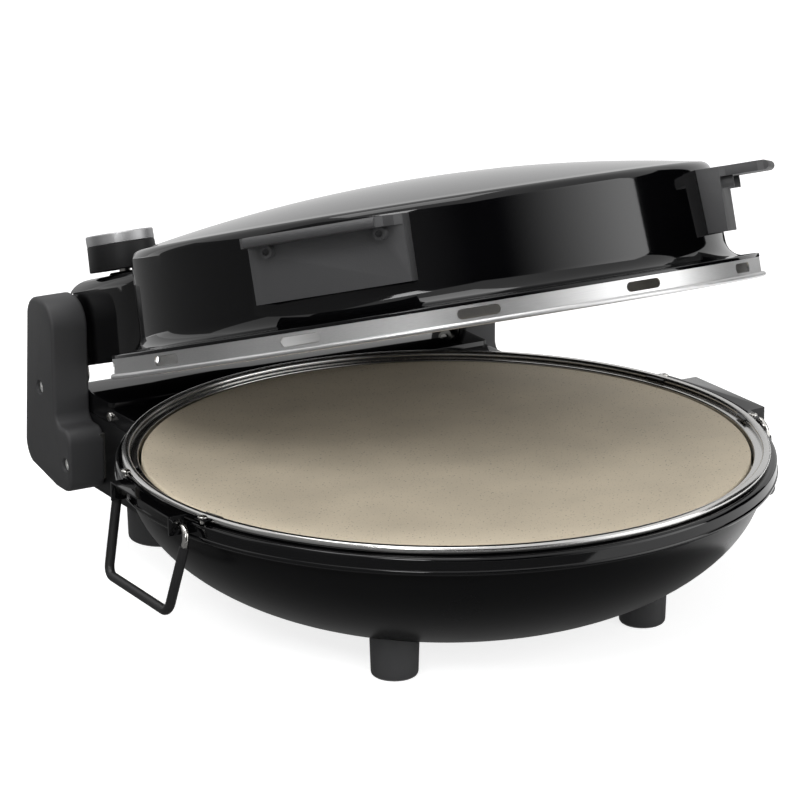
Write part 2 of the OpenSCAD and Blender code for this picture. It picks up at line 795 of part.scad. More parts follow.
module cover_screws() color([0.8, 0.8, 0.8]) about_bowl_axis() {
    for (s = [-1, 1]) on_side(s) translate([0, cover_screw_y, cover_screw_z]) {
        rod_x(housing_half_w - cover_t - 5, housing_half_w + 0.5, small_screw_r);
        translate([housing_half_w, 0, 0]) rotate([0, 90, 0])
            rotate_extrude($fn = 32) polygon(concat(
                [[0, 0]], arc(0, 0.6, 2.6, 0, 90, 4), [[0, 3.2]]));
    }
}

// Bail brackets and bails, drawn on the right side and mirrored for the left

module bail_plate_outline() {
    tab_y = tab_screw_r * sin(tab_turn) + tab_r;
    difference() {
        union() {
            translate([plate_inner_r - 40, bail_near_lip_y])
                square([bail_edge_x - plate_inner_r + 40, bail_far_lip_y - bail_near_lip_y]);
            intersection() {
                circle(cover_r - 0.4, $fn = 120);
                translate([0, -tab_y]) square([cover_r, 2 * tab_y]);
            }
        }
        circle(plate_inner_r, $fn = 120);
    }
}

module bail_bracket(side) color([0.04, 0.04, 0.04]) about_bowl_axis() on_side(side) {
    difference() {
        union() {
            translate([0, 0, plate_z]) linear_extrude(plate_t) bail_plate_outline();
            // Turned-down ends that carry the wire
            for (y = [bail_near_lip_y, bail_far_lip_y - lip_t])
                translate([lip_x, y, plate_z - lip_h])
                    cube([bail_edge_x - lip_x, lip_t, lip_h + plate_t / 2]);
        }
        bail_tab_pair_holes();
        translate([bail_pivot_x, 0, bail_pivot_z])
            rod_y(bail_near_lip_y - 1, bail_far_lip_y + 1, wire_r + bore_play);
    }
}

module bail_tab_pair_holes() {
    at_bail_tab_pair() translate([0, 0, plate_z - 1])
        cylinder(h = plate_t + 2, r = small_screw_r + slip, $fn = 24);
}

module bail_bracket_left() bail_bracket(-1);
module bail_bracket_right() bail_bracket(1);

module bail_bracket_screws() color([0.8, 0.8, 0.8]) about_bowl_axis() {
    at_bail_tabs() {
        translate([0, 0, cover_under_z - 2])
            cylinder(h = plate_z + plate_t - cover_under_z + 2.5, r = small_screw_r, $fn = 24);
        translate([0, 0, plate_z + plate_t]) rotate_extrude($fn = 32) polygon([
            [0, 0], [small_head_r, 0], [small_head_r, small_head_h * 0.4],
            [small_head_r * 0.7, small_head_h], [0, small_head_h]]);
    }
}

// The wire runs from a pin through the near lip, down, along the bar and up to a pin
// through the far lip. It is drawn hanging straight down and then leant outwards.
// Its bends are short straight pieces with mitred joints.
bend_pieces = 4;
bar_sides = 16;
far_bend_r = 2.4;
pin_in = 3;
near_turn = atan((bail_bar_near_y - bail_near_y) / (bail_l - bail_bend_r));
far_turn = atan((bail_far_y - bail_bar_far_y) / (bail_l - far_bend_r));
near_cut = bail_bend_r * tan((90 - near_turn) / 2);
far_cut = bail_bend_r * tan((90 - far_turn) / 2);
near_leg_top = [bail_near_y, -bail_bend_r];
far_leg_top = [bail_far_y, -far_bend_r];
low_bends = concat(
    arc(bail_bar_near_y + near_cut, bail_bend_r - bail_l, bail_bend_r, 180 + near_turn, 270,
        bend_pieces),
    arc(bail_bar_far_y - far_cut, bail_bend_r - bail_l, bail_bend_r, 270, 360 - far_turn,
        bend_pieces));
wire_path = concat(
    [[bail_near_lip_y + lip_t + pin_in, 0]],
    arc(bail_near_y + bail_bend_r, -bail_bend_r, bail_bend_r, 90, 180, bend_pieces),
    low_bends,
    arc(bail_far_y - far_bend_r, -far_bend_r, far_bend_r, 0, 90, bend_pieces),
    [[bail_far_lip_y - lip_t - pin_in, 0]]);
grip_path = concat(
    [near_leg_top + grip_drop * [sin(near_turn), -cos(near_turn)]],
    low_bends,
    [far_leg_top + grip_drop * [-sin(far_turn), -cos(far_turn)]]);

module leaning_bail(side) {
    about_bowl_axis() on_side(side)
    translate([bail_pivot_x, 0, bail_pivot_z])
    rotate([0, -bail_lean, 0])
    children();
}

// Unit direction of piece i of a path, and the mitre plane at point i
function piece_dir(path, i) = (path[i] - path[i - 1]) / norm(path[i] - path[i - 1]);
function point_dir(path, i) =
    let (before = piece_dir(path, max(1, i)),
         after = piece_dir(path, min(len(path) - 1, i + 1)))
    (before + after) / norm(before + after);
function mitre(path, i) = 1 / (point_dir(path, i) * piece_dir(path, max(1, i)));

// Ring of points round point i of a path of places in Y and Z
function bar_ring(path, i, r) =
    let (dir = point_dir(path, i), across = r * mitre(path, i))
    [for (k = [0 : bar_sides - 1]) let (a = 360 * k / bar_sides)
        [r * cos(a), path[i][0] - dir[1] * across * sin(a),
         path[i][1] + dir[0] * across * sin(a)]];

// Side faces between two neighbouring rings that start at points p and q
function band(p, q) =
    [for (k = [0 : bar_sides - 1]) let (m = (k + 1) % bar_sides) [p + k, p + m, q + m, q + k]];
function flip(faces) = [for (f = faces) [for (i = [len(f) - 1 : -1 : 0]) f[i]]];

// A round bar along a path, solid or with a bore of radius r_in
module path_bar(path, r, r_in = 0) {
    n = len(path);
    rows = [for (i = [0 : n - 1]) each bar_ring(path, i, r)];
    bores = r_in > 0 ? [for (i = [0 : n - 1]) each bar_ring(path, i, r_in)] : [];
    last = (n - 1) * bar_sides;
    inner = n * bar_sides;
    polyhedron(concat(rows, bores), flip(concat(
        [for (i = [0 : n - 2]) each band(i * bar_sides, (i + 1) * bar_sides)],
        r_in > 0 ? concat(
            flip([for (i = [0 : n - 2])
                each band(inner + i * bar_sides, inner + (i + 1) * bar_sides)]),
            flip(band(0, inner)), band(last, inner + last))
        : [[for (k = [bar_sides - 1 : -1 : 0]) k], [for (k = [0 : bar_sides - 1]) last + k]])));
}

module bail_wire(side) color([0.8, 0.8, 0.8]) leaning_bail(side)
    path_bar(wire_path, wire_r);

module bail_grip(side) color([0.08, 0.08, 0.08]) leaning_bail(side)
    path_bar(grip_path, grip_r, wire_r + slip);

module bail_wire_left() bail_wire(-1);
module bail_wire_right() bail_wire(1);
module bail_grip_left() bail_grip(-1);
module bail_grip_right() bail_grip(1);

// Lid

module shell_solid(extra) {
    translate([0, 0, 0]) rotate_extrude($fn = 120) polygon(concat(
        [[0, ring_top_z - extra]],
        shell_curve(-extra),
        [[ring_r + 0.2 + extra, ring_top_z - extra]]));
}

module lid_shell() color([0.02, 0.02, 0.02]) on_open_lid() {
    inner = shell_curve(shell_t);
    n = len(inner);
    difference() {
        rotate_extrude($fn = 120) polygon(concat(
            shell_curve(0),
            [[ring_r + 0.2, ring_top_z], [ring_r - 1, ring_top_z],
             [ring_r - 1, shell_rim_z - shell_t]],
            [for (i = [n - 2 : -1 : 0]) inner[i]]));
        handle_screw_bores(screw_r + 0.2);
        // Passage for the wires into the console
        translate([-30, 130, wall_low_z + 6]) cube([60, 40, 20]);
    }
}

module lid_ring() color([0.72, 0.72, 0.72]) on_open_lid() {
    difference() {
        rotate_extrude($fn = 120) {
            translate([ring_r - ring_t, lid_z + ring_bead]) square([ring_t, ring_h - ring_bead]);
            translate([ring_r - 7, ring_top_z - ring_t]) square([7 - ring_t / 2, ring_t]);
            translate([ring_r + ring_bead - ring_t / 2, lid_z + ring_bead])
                circle(ring_bead, $fn = 24);
        }
        for (i = [0 : slot_n - 1]) rotate([0, 0, slot_turn + i * 360 / slot_n])
            translate([0, -ring_r, slot_z]) {
                translate([-slot_l / 2 + slot_h / 2, -4, -slot_h / 2])
                    cube([slot_l - slot_h, 8, slot_h]);
                for (s = [-1, 1]) translate([s * (slot_l - slot_h) / 2, 0, 0])
                    rod_y(-4, 4, slot_h / 2);
            }
    }
}

module upper_reflector() color([0.78, 0.78, 0.77]) on_open_lid() {
    outer = [
        [ring_r - ring_t - 0.3, reflector_rim_z], [ring_r - 10, reflector_rim_z],
        [ring_r - 19, reflector_rim_z + 9], [ring_r - 26, reflector_roof_z - reflector_t],
        [0, reflector_roof_z - reflector_t]
    ];
    rotate_extrude($fn = 96) difference() {
        polygon(concat(outer, [
            [0, reflector_roof_z], [ring_r - 25.5, reflector_roof_z],
            [ring_r - 18.3, reflector_rim_z + 9.4], [ring_r - 9.6, reflector_rim_z + reflector_t],
            [ring_r - ring_t - 0.3, reflector_rim_z + reflector_t]]));
        translate([element_r - 300, 0]) square([0.001, 0.001]);
    }
}

upper_element_z = reflector_roof_z - reflector_t - element_lift;

module upper_element() color([0.35, 0.36, 0.36]) on_open_lid()
    element_loop(upper_element_z, element_lift - 0.5);

module upper_element_clips() color([0.6, 0.6, 0.6]) on_open_lid()
    element_saddles(reflector_roof_z - reflector_t, upper_element_z);

module upper_terminal_block() color([0.9, 0.88, 0.82]) on_open_lid()
    terminal_block(reflector_roof_z, reflector_roof_z + 9);

// Console across the back of the lid

module console_outer(inset, side_inset, low_z) {
    z1 = console_top_z - inset;
    y1 = console_rear_y - inset;
    half = console_half_w - side_inset;
    edge = console_edge_r - inset;
    side_r = max(1, console_side_r - side_inset);
    intersection() {
        extrude_x(-half, half) polygon(concat(
            [[80, low_z], [y1, low_z]],
            arc(y1 - edge, z1 - edge, edge, 0, 90, 7),
            [[80, z1]]));
        translate([0, y1 + 1, 0]) rotate([90, 0, 0]) linear_extrude(y1 - 78) polygon(concat(
            [[-half, low_z - 1], [half, low_z - 1]],
            arc(half - side_r, z1 - side_r, side_r, 0, 90, 5),
            arc(-half + side_r, z1 - side_r, side_r, 90, 180, 5)));
    }
}

module lug_outline(extra) {
    bar_front = hinge_y - lug_r;
    bar_rear = console_rear_y - 2.5;
    translate([hinge_y, hinge_z]) circle(lug_r + extra, $fn = 48);
    translate([bar_front - extra, hinge_z])
        square([bar_rear - bar_front + 2 * extra, lug_top_h + extra]);
}

module at_lug_screws() {
    for (h = [18, 30]) translate([0, hinge_y - 3.5, hinge_z + h]) children();
}

module console_cover() color([0.02, 0.02, 0.02]) on_open_lid() {
    floor_z = console_low_z + 2;
    difference() {
        console_outer(0, 0, console_low_z);
        console_outer(console_t, console_side_t, console_low_z - 1);
        shell_solid(0.2);
        // Clear of the slotted ring and its bead
        translate([0, 0, lid_z - 5]) cylinder(h = ring_h + 5, r = ring_r + 2 * ring_bead + 0.6,
                                              $fn = 120);
        // Pockets for the steel lugs, open downwards round the hinge pins
        for (s = [-1, 1]) on_side(s) {
            extrude_x(console_half_w - lug_t - 0.2, console_half_w + 1) lug_outline(lug_gap);
            extrude_x(console_half_w - lug_t - 1.4, console_half_w + 1)
                translate([hinge_y, hinge_z]) circle(lug_r + lug_gap, $fn = 48);
            at_lug_screws() rod_x(console_half_w - console_side_t - 1, console_half_w + 1,
                                  small_screw_r + slip);
        }
        // Seat of the floor plate
        translate([0, 0, console_low_z - 1]) linear_extrude(floor_z - console_low_z + 1)
            console_floor_outline(0.1);
        // Hole for the thermostat's bush
        translate([-knob_x, knob_y, console_top_z - 20]) cylinder(h = 30, r = bush_r + 0.1);
    }
}

module console_floor_outline(extra) {
    half = console_half_w - console_side_t / 2 - 1;
    difference() {
        translate([-half - extra, 120])
            square([2 * (half + extra), console_rear_y - console_t / 2 - 120 + extra]);
        circle(ring_r + 2 * ring_bead + 0.6 + 1.2 - extra, $fn = 120);
    }
}

module console_floor() color([0.03, 0.03, 0.03]) on_open_lid() {
    difference() {
        translate([0, 0, console_low_z]) linear_extrude(2 - 0.1) console_floor_outline(0);
        for (s = [-1, 1]) on_side(s)
            extrude_x(console_half_w - lug_t - 1.4, console_half_w + 1)
                translate([hinge_y, hinge_z]) circle(lug_r + lug_gap, $fn = 48);
    }
}

module hinge_lug(side) color([0.62, 0.62, 0.60]) on_open_lid() on_side(side) {
    difference() {
        extrude_x(console_half_w - lug_t, console_half_w) lug_outline(0);
        translate([0, hinge_y, hinge_z])
            rod_x(console_half_w - lug_t - 1, console_half_w + 1, pin_r + bore_play);
        at_lug_screws() rod_x(console_half_w - lug_t - 1, console_half_w + 1,
                              small_screw_r + slip);
    }
}

module hinge_lug_left() hinge_lug(-1);
module hinge_lug_right() hinge_lug(1);

module lug_screws() color([0.7, 0.7, 0.7]) on_open_lid() {
    for (s = [-1, 1]) on_side(s) at_lug_screws() {
        rod_x(console_half_w - console_side_t - 2, console_half_w, small_screw_r);
        rod_x(console_half_w - console_side_t - 2, console_half_w - console_side_t,
              small_screw_r + 1.2);
    }
}

module thermostat() color([0.85, 0.83, 0.76]) on_open_lid() {
    top_z = console_top_z - console_t;
    body_w = 26;
    body_h = 13;
    translate([-knob_x, knob_y, 0]) difference() {
        union() {
            translate([-body_w / 2, -body_w / 2, top_z - body_h])
                cube([body_w, body_w, body_h - slip]);
            translate([0, 0, top_z - 1]) cylinder(h = console_t + nut_h + 1, r = bush_r);
        }
        translate([0, 0, top_z - body_h + 2])
            cylinder(h = body_h + console_t + nut_h, r = shaft_r + bore_play);
    }
}

module thermostat_nut() color([0.5, 0.5, 0.5]) on_open_lid() {
    translate([-knob_x, knob_y, console_top_z]) difference() {
        rotate_extrude() polygon([[0, 0], [nut_r, 0], [nut_r - 1.2, nut_h], [0, nut_h]]);
        translate([0, 0, -1]) cylinder(h = nut_h + 2, r = bush_r + slip);
    }
}

module at_knob() {
    on_open_lid() translate([-knob_x, knob_y, 0]) children();
}

module knob_shaft() color([0.75, 0.75, 0.75]) at_knob() {
    bottom = console_top_z - console_t - 10.5;
    translate([0, 0, bottom]) cylinder(h = knob_low_z + knob_h - 2 - bottom, r = shaft_r);
}

module knob_body() color([0.08, 0.08, 0.08]) at_knob() translate([0, 0, knob_low_z]) {
    difference() {
        rotate_extrude() polygon([
            [0, 0.4], [6.4, 0.4], [6.4, knob_h - 3.4], [knob_r - 1.6, knob_h - 3.4],
            [knob_r + knob_flare - 2.2, 0], [knob_r + knob_flare, 0], [knob_r, knob_h],
            [0, knob_h]
        ]);
        cylinder(h = knob_h - 2, r = shaft_r + 0.02);
    }
}

module knob_cap() color([0.75, 0.75, 0.75]) at_knob()
    translate([0, 0, knob_low_z + knob_h]) rotate_extrude() polygon(concat(
        [[0, 0], [knob_r, 0]],
        arc(knob_r - 0.8, cap_h - 0.8, 0.8, 0, 90, 3),
        [[0, cap_h]]));

// Lid handles: an upright plate, a finger flange and two screw bosses

module handle_side(side) {
    turn = side < 0 ? -handle_left_turn : handle_right_turn;
    rotate([0, 0, turn]) children();
}

module at_handle_screws() {
    for (s = [-1, 1]) translate([s * handle_screw_x, 0, boss_z]) children();
}

module handle_screw_bores(r) {
    for (side = [-1, 1]) handle_side(side) at_handle_screws()
        rod_y(-handle_face_r - boss_l + 3, -wall_top_r + 20, r);
}

module lid_handle(side) color([0.13, 0.13, 0.13]) on_open_lid() {
    tip_r = flange_t / 2;
    tip_w = handle_w - 2 * flange_inset;
    handle_corner = 3;
    rib_back_r = wall_top_r - dome_edge_r - handle_plate_t;
    difference() {
        handle_side(side) {
            translate([-handle_w / 2, -handle_face_r, handle_low_z])
                cube([handle_w, handle_plate_t, handle_h]);
            translate([-handle_w / 2, -handle_face_r, handle_top_z - flange_t])
                cube([handle_w, handle_face_r - rib_back_r, flange_t]);
            // Finger flange with its corners cut and a round front edge
            translate([0, -handle_face_r, handle_top_z - flange_t]) linear_extrude(flange_t)
                polygon([
                    [-handle_w / 2, 0.5], [-handle_w / 2, 0], [-tip_w / 2, -handle_corner],
                    [-tip_w / 2, tip_r + handle_corner - flange_reach],
                    [-tip_w / 2 + handle_corner, tip_r - flange_reach],
                    [tip_w / 2 - handle_corner, tip_r - flange_reach],
                    [tip_w / 2, tip_r + handle_corner - flange_reach],
                    [tip_w / 2, -handle_corner], [handle_w / 2, 0], [handle_w / 2, 0.5]]);
            translate([0, -handle_face_r - flange_reach + tip_r, handle_top_z - tip_r])
                rod_x(handle_corner - tip_w / 2, tip_w / 2 - handle_corner, tip_r - eps);
            for (x = [-handle_w / 2, handle_w / 2 - handle_rib_t])
                translate([x, -handle_face_r, handle_low_z])
                    cube([handle_rib_t, handle_face_r - rib_back_r, handle_h]);
            at_handle_screws() rod_y(-handle_face_r - boss_l, -handle_back_r, boss_r);
            at_handle_screws() rod_y(-handle_back_r - 1, -wall_top_r + 8, boss_r + 2);
        }
        shell_solid(seat);
        handle_screw_bores(screw_r + slip);
        handle_side(side) at_handle_screws()
            rod_y(-handle_face_r - boss_l - 1, -handle_face_r - boss_l + 2, boss_r - 1.5);
    }
}

module lid_handle_left() lid_handle(-1);
module lid_handle_right() lid_handle(1);

module lid_handle_screws() color([0.7, 0.7, 0.7]) on_open_lid() {
    inner_r = wall_top_r - shell_t;
    head_y = -sqrt(pow(inner_r, 2) - pow(handle_screw_x + 4, 2)) + 0.3;
    for (side = [-1, 1]) handle_side(side) at_handle_screws() {
        rod_y(-handle_face_r - boss_l + 4, head_y + 1, screw_r);
        rod_y(head_y, head_y + 2.4, 4);
    }
}

base_bowl();
base_cover();
heater_pan();
pizza_stone();
lower_element();
lower_element_clips();
lower_terminal_block();
rear_housing();
rear_housing_floor();
front_foot_left();
front_foot_right();
rear_foot_left();
rear_foot_right();
foot_screws();
hinge_arm_left();
hinge_arm_right();
hinge_bracket_left();
hinge_bracket_right();
hinge_pin_left();
hinge_pin_right();
arm_screws();
cover_screws();
bail_bracket_left();
bail_bracket_right();
bail_bracket_screws();
cord_gland();
lid_shell();
lid_ring();
upper_reflector();
upper_element();
upper_element_clips();
upper_terminal_block();
console_cover();
console_floor();
hinge_lug_left();
hinge_lug_right();
lug_screws();
thermostat();
thermostat_nut();
lid_handle_left();
lid_handle_right();
lid_handle_screws();
knob_shaft();
knob_body();
knob_cap();
bail_wire_left();
bail_grip_left();
bail_wire_right();
bail_grip_right();
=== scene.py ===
"""Electric pizza maker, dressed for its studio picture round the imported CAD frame.

The cooker's sizes are in millimetres about the bowl's axis, as on the drawing, and are turned
to metres in the frame's own place when a piece is made. Lamps, panels and cards are in metres.
"""

import json
import logging
import math
from collections.abc import Callable, Iterable, Iterator, Sequence
from contextlib import contextmanager
from dataclasses import dataclass
from enum import Enum
from typing import Any

import bpy
from mathutils import Matrix, Vector

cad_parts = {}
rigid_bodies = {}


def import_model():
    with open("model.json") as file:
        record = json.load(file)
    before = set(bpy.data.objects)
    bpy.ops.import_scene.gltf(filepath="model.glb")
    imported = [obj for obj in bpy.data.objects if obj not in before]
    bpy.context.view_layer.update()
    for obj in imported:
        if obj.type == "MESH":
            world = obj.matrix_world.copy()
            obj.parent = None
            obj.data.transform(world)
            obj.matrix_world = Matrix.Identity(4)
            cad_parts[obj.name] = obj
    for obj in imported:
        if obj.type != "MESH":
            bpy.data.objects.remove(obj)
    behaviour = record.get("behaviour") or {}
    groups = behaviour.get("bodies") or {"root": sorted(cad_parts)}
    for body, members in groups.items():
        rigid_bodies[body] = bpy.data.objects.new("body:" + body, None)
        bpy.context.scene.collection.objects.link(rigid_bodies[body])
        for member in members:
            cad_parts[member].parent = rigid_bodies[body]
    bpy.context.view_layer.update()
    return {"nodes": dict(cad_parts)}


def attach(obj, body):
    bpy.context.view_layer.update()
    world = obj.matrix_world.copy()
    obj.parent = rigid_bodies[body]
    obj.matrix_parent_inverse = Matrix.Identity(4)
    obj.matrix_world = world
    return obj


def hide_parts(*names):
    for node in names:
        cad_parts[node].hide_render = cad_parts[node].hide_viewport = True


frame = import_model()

log = logging.getLogger("pizza_maker")

Point2 = tuple[float, float]
Point3 = tuple[float, float, float]

MM = 0.001
WHITE = (1.0, 1.0, 1.0, 1.0)
# Sides of the large turned sheets, of the knob, and of small round holes and bars
ROUND_STEPS = 192
KNOB_STEPS = 96
HOLE_STEPS = 48
BAR_STEPS = 24
# A pole is turned as a ring of this radius, which the merging then closes
POLE_R = 0.02
POLE_MERGE = 0.06
MERGE = 0.001
# Facets of the rounding along a board's faces, and the angle of the edges that get softened
EDGE_FACETS = 4
SOFT_ANGLE = 35.0


# Places and drawing helpers ---------------------------------------------------------------


class Side(Enum):
    """The two sides of the cooker; the value multiplies X."""

    LEFT = -1
    RIGHT = 1

    @property
    def word(self) -> str:
        """The side's name as the CAD nodes end with it."""
        return self.name.lower()


@dataclass(frozen=True)
class Layout:
    """Where the sub-assemblies stand, in millimetres."""

    axis_y: float = -22.0
    hinge_y: float = 190.5
    hinge_z: float = 95.5
    lid_open: float = 17.8

    def base_matrix(self) -> Matrix:
        """Drawing millimetres of the base to metres in the frame."""
        return Matrix.Translation((0, self.axis_y * MM, 0)) @ Matrix.Scale(MM, 4)

    def lid_matrix(self) -> Matrix:
        """Drawing millimetres of the shut lid to metres in the frame, opened.

        Returns:
            The matrix.
        """
        hinge = Matrix.Translation((0, self.hinge_y, self.hinge_z))
        opened = Matrix.Rotation(math.radians(-self.lid_open), 4, "X")
        return self.base_matrix() @ hinge @ opened @ hinge.inverted()

    def side_matrix(self, side: Side) -> Matrix:
        """Like base_matrix, for a right-hand drawing that the left side mirrors."""
        return self.base_matrix() @ Matrix.Scale(side.value, 4, Vector((1, 0, 0)))


def spin(degrees: float, axis: str) -> Matrix:
    """A turn about one of the axes, as a matrix."""
    return Matrix.Rotation(math.radians(degrees), 4, axis)


def arc(centre: Point2, radius: float, start: float, stop: float, steps: int) -> list[Point2]:
    """Points of an arc in a drawing plane.

    Args:
        centre: middle of the arc.
        radius: its radius.
        start: first angle, in degrees.
        stop: last angle, in degrees.
        steps: number of chords.

    Returns:
        The points, both ends included.
    """
    turns = [math.radians(start + (stop - start) * i / steps) for i in range(steps + 1)]
    return [(centre[0] + radius * math.cos(t), centre[1] + radius * math.sin(t)) for t in turns]


def down_leg(top: Point2, foot: Point2, drop: float) -> Point2:
    """A point on a leg, below its top.

    Args:
        top: the leg's top.
        foot: the leg's foot.
        drop: length from the top.

    Returns:
        The point.
    """
    spot = Vector(top) + (Vector(foot) - Vector(top)).normalized() * drop
    return (spot.x, spot.y)


def deselect_all() -> None:
    """Clears the selection, so that an operator acts on nothing left over."""
    for shown in bpy.context.view_layer.objects:
        shown.select_set(False)


def hold(piece: bpy.types.Object) -> None:
    """Makes a piece the only selected and the active object.

    Args:
        piece: the piece.
    """
    deselect_all()
    piece.select_set(True)
    bpy.context.view_layer.objects.active = piece


@contextmanager
def edit_mode(select: str = "") -> Iterator[None]:
    """Edit mode on the active object, and object mode again afterwards.

    Args:
        select: "SELECT" or "DESELECT" for the whole mesh; empty keeps what is selected.

    Yields:
        Nothing.
    """
    bpy.ops.object.mode_set(mode="EDIT")
    if select:
        bpy.ops.mesh.select_all(action=select)
    yield
    bpy.ops.object.mode_set(mode="OBJECT")


def pick(piece: bpy.types.Object, wanted: Callable[[Any], bool], what: str) -> None:
    """Selects edges or faces of a mesh by a test, in object mode, ready for edit mode.

    Args:
        piece: the mesh object.
        wanted: test that takes an edge or a face.
        what: "edges" or "polygons".
    """
    mesh = piece.data
    for kind in (mesh.vertices, mesh.edges, mesh.polygons):
        kind.foreach_set("select", [False] * len(kind))
    for part in getattr(mesh, what):
        part.select = wanted(part)
    bpy.context.tool_settings.mesh_select_mode = (False, what == "edges", what == "polygons")


def tidy_mesh(piece: bpy.types.Object, merge: float = MERGE) -> None:
    """Merges doubles and points all faces outwards.

    Args:
        piece: the mesh object.
        merge: points closer than this become one.
    """
    hold(piece)
    with edit_mode("SELECT"):
        bpy.ops.mesh.remove_doubles(threshold=merge)
        bpy.ops.mesh.normals_make_consistent(inside=False)


def place(piece: bpy.types.Object, matrix: Matrix) -> None:
    """Moves a drawn piece to its place and writes the place into its mesh.

    Args:
        piece: the piece.
        matrix: from the drawing to the frame; one that mirrors turns the faces out again.
    """
    hold(piece)
    piece.matrix_world = matrix
    bpy.ops.object.transform_apply(location=True, rotation=True, scale=True)
    if matrix.determinant() < 0:
        with edit_mode("SELECT"):
            bpy.ops.mesh.normals_make_consistent(inside=False)


def turn(name: str, profile: Sequence[Point2], steps: int = ROUND_STEPS) -> bpy.types.Object:
    """Turns a profile round the Z axis, as on a lathe.

    Args:
        name: name of the piece.
        profile: radius and height of each point; a radius of 0 is a pole.
        steps: number of sides round the piece.

    Returns:
        The turned piece, in drawing millimetres.
    """
    rings = [(max(r, POLE_R), z) for r, z in profile]
    deselect_all()
    bpy.ops.mesh.primitive_circle_add(vertices=steps, radius=rings[0][0],
                                      location=(0, 0, rings[0][1]))
    piece = bpy.context.object
    piece.name = name
    bpy.ops.object.transform_apply(location=True)
    with edit_mode():
        for (r0, z0), (r1, z1) in zip(rings, rings[1:]):
            bpy.ops.mesh.extrude_edges_move(TRANSFORM_OT_translate={"value": (0, 0, z1 - z0)})
            bpy.ops.transform.resize(value=(r1 / r0, r1 / r0, 1), center_override=(0, 0, z1))
    tidy_mesh(piece, POLE_MERGE)
    return piece


def slab(name: str, outline: Sequence[Point2], x0: float, x1: float,
         edge: float = 0.0) -> bpy.types.Object:
    """Cuts an outline in Y and Z out of a board that lies between x0 and x1.

    Args:
        name: name of the piece.
        outline: the outline's points, in order.
        x0: first face.
        x1: second face.
        edge: radius of the rounding along both faces.

    Returns:
        The piece, in drawing millimetres.
    """
    deselect_all()
    bpy.ops.mesh.primitive_circle_add(vertices=len(outline), radius=1, fill_type="NGON")
    piece = bpy.context.object
    piece.name = name
    for corner, (y, z) in zip(piece.data.vertices, outline):
        corner.co = (x0, y, z)
    with edit_mode("SELECT"):
        bpy.ops.mesh.extrude_region_move(TRANSFORM_OT_translate={"value": (x1 - x0, 0, 0)})
    tidy_mesh(piece)
    if edge:
        points, flat = piece.data.vertices, 0.01
        pick(piece, lambda line: abs(points[line.vertices[0]].co.x
                                     - points[line.vertices[1]].co.x) < flat, "edges")
        with edit_mode():
            bpy.ops.mesh.bevel(offset=edge, segments=EDGE_FACETS, affect="EDGES")
    return piece


def round_bar(name: str, line: Sequence[Point2], radius: float,
              ends: float) -> bpy.types.Object:
    """Extrudes a round section along a line in Y and Z, with rounded ends.

    Args:
        name: name of the piece.
        line: the middle line.
        radius: radius of the section.
        ends: width of the ring that is set in at both ends.

    Returns:
        The bar, in drawing millimetres.
    """
    ways = [Vector((0, b[0] - a[0], b[1] - a[1])).normalized() for a, b in zip(line, line[1:])]
    aims = [ways[0]] + [(a + b).normalized() for a, b in zip(ways, ways[1:])] + [ways[-1]]
    deselect_all()
    bpy.ops.mesh.primitive_circle_add(vertices=BAR_STEPS, radius=radius, fill_type="NOTHING")
    piece = bpy.context.object
    piece.name = name
    ring = [corner.co.copy() for corner in piece.data.vertices]
    with edit_mode():
        for _ in line[1:]:
            bpy.ops.mesh.extrude_edges_move(TRANSFORM_OT_translate={"value": (0, 0, 0)})
    sharpest = 0.5
    for i, ((y, z), aim) in enumerate(zip(line, aims)):
        stretch = 1 / max(sharpest, aim.dot(ways[max(0, i - 1)]))
        across = Vector((0, -aim.z, aim.y))
        for k, corner in enumerate(ring):
            spot = Vector((corner.x, y, z)) + across * corner.y * stretch
            piece.data.vertices[i * BAR_STEPS + k].co = spot
    hold(piece)
    bpy.context.tool_settings.mesh_select_mode = (False, True, False)
    with edit_mode("DESELECT"):
        bpy.ops.mesh.select_non_manifold(extend=False, use_wire=False, use_multi_face=False,
                                         use_non_contiguous=False, use_verts=False)
        bpy.ops.mesh.fill_holes(sides=0)
    pick(piece, lambda face: len(face.vertices) > 4, "polygons")
    with edit_mode():
        bpy.ops.mesh.inset(thickness=ends, depth=0)
    tidy_mesh(piece)
    return piece


def cut(piece: bpy.types.Object, tools: Iterable[bpy.types.Object]) -> None:
    """Takes the tools' shapes out of a piece and throws the tools away.

    Args:
        piece: the piece.
        tools: closed shapes in the same place.
    """
    for tool in tools:
        hold(piece)
        step = piece.modifiers.new("cut", "BOOLEAN")
        step.operation = "DIFFERENCE"
        step.solver = "EXACT"
        step.object = tool
        bpy.ops.object.modifier_apply(modifier=step.name)
        bpy.data.objects.remove(tool)


def join(name: str, parts: Sequence[bpy.types.Object]) -> bpy.types.Object:
    """Joins finished parts to one object.

    Args:
        name: name of the joined piece.
        parts: the parts, each in its place.

    Returns:
        The piece.
    """
    deselect_all()
    for part in parts:
        part.select_set(True)
    bpy.context.view_layer.objects.active = parts[0]
    bpy.ops.object.join()
    parts[0].name = name
    return parts[0]


def soften(piece: bpy.types.Object, width: float) -> None:
    """Rounds a piece's sharp edges a little.

    Args:
        piece: the piece, in its place, in metres.
        width: width of the rounding, in millimetres.
    """
    hold(piece)
    step = piece.modifiers.new("soft_edges", "BEVEL")
    step.width = width * MM
    step.segments = 2
    step.limit_method = "ANGLE"
    step.angle_limit = math.radians(SOFT_ANGLE)
    bpy.ops.object.modifier_apply(modifier=step.name)


def own_copy(source: bpy.types.Object, name: str) -> bpy.types.Object:
    """Copies an object that sits at the origin, with its mesh.

    Args:
        source: the object.
        name: name of the copy.

    Returns:
        The copy, with a mesh of its own.
    """
    piece = bpy.data.objects.new(name, source.data.copy())
    bpy.context.scene.collection.objects.link(piece)
    return piece


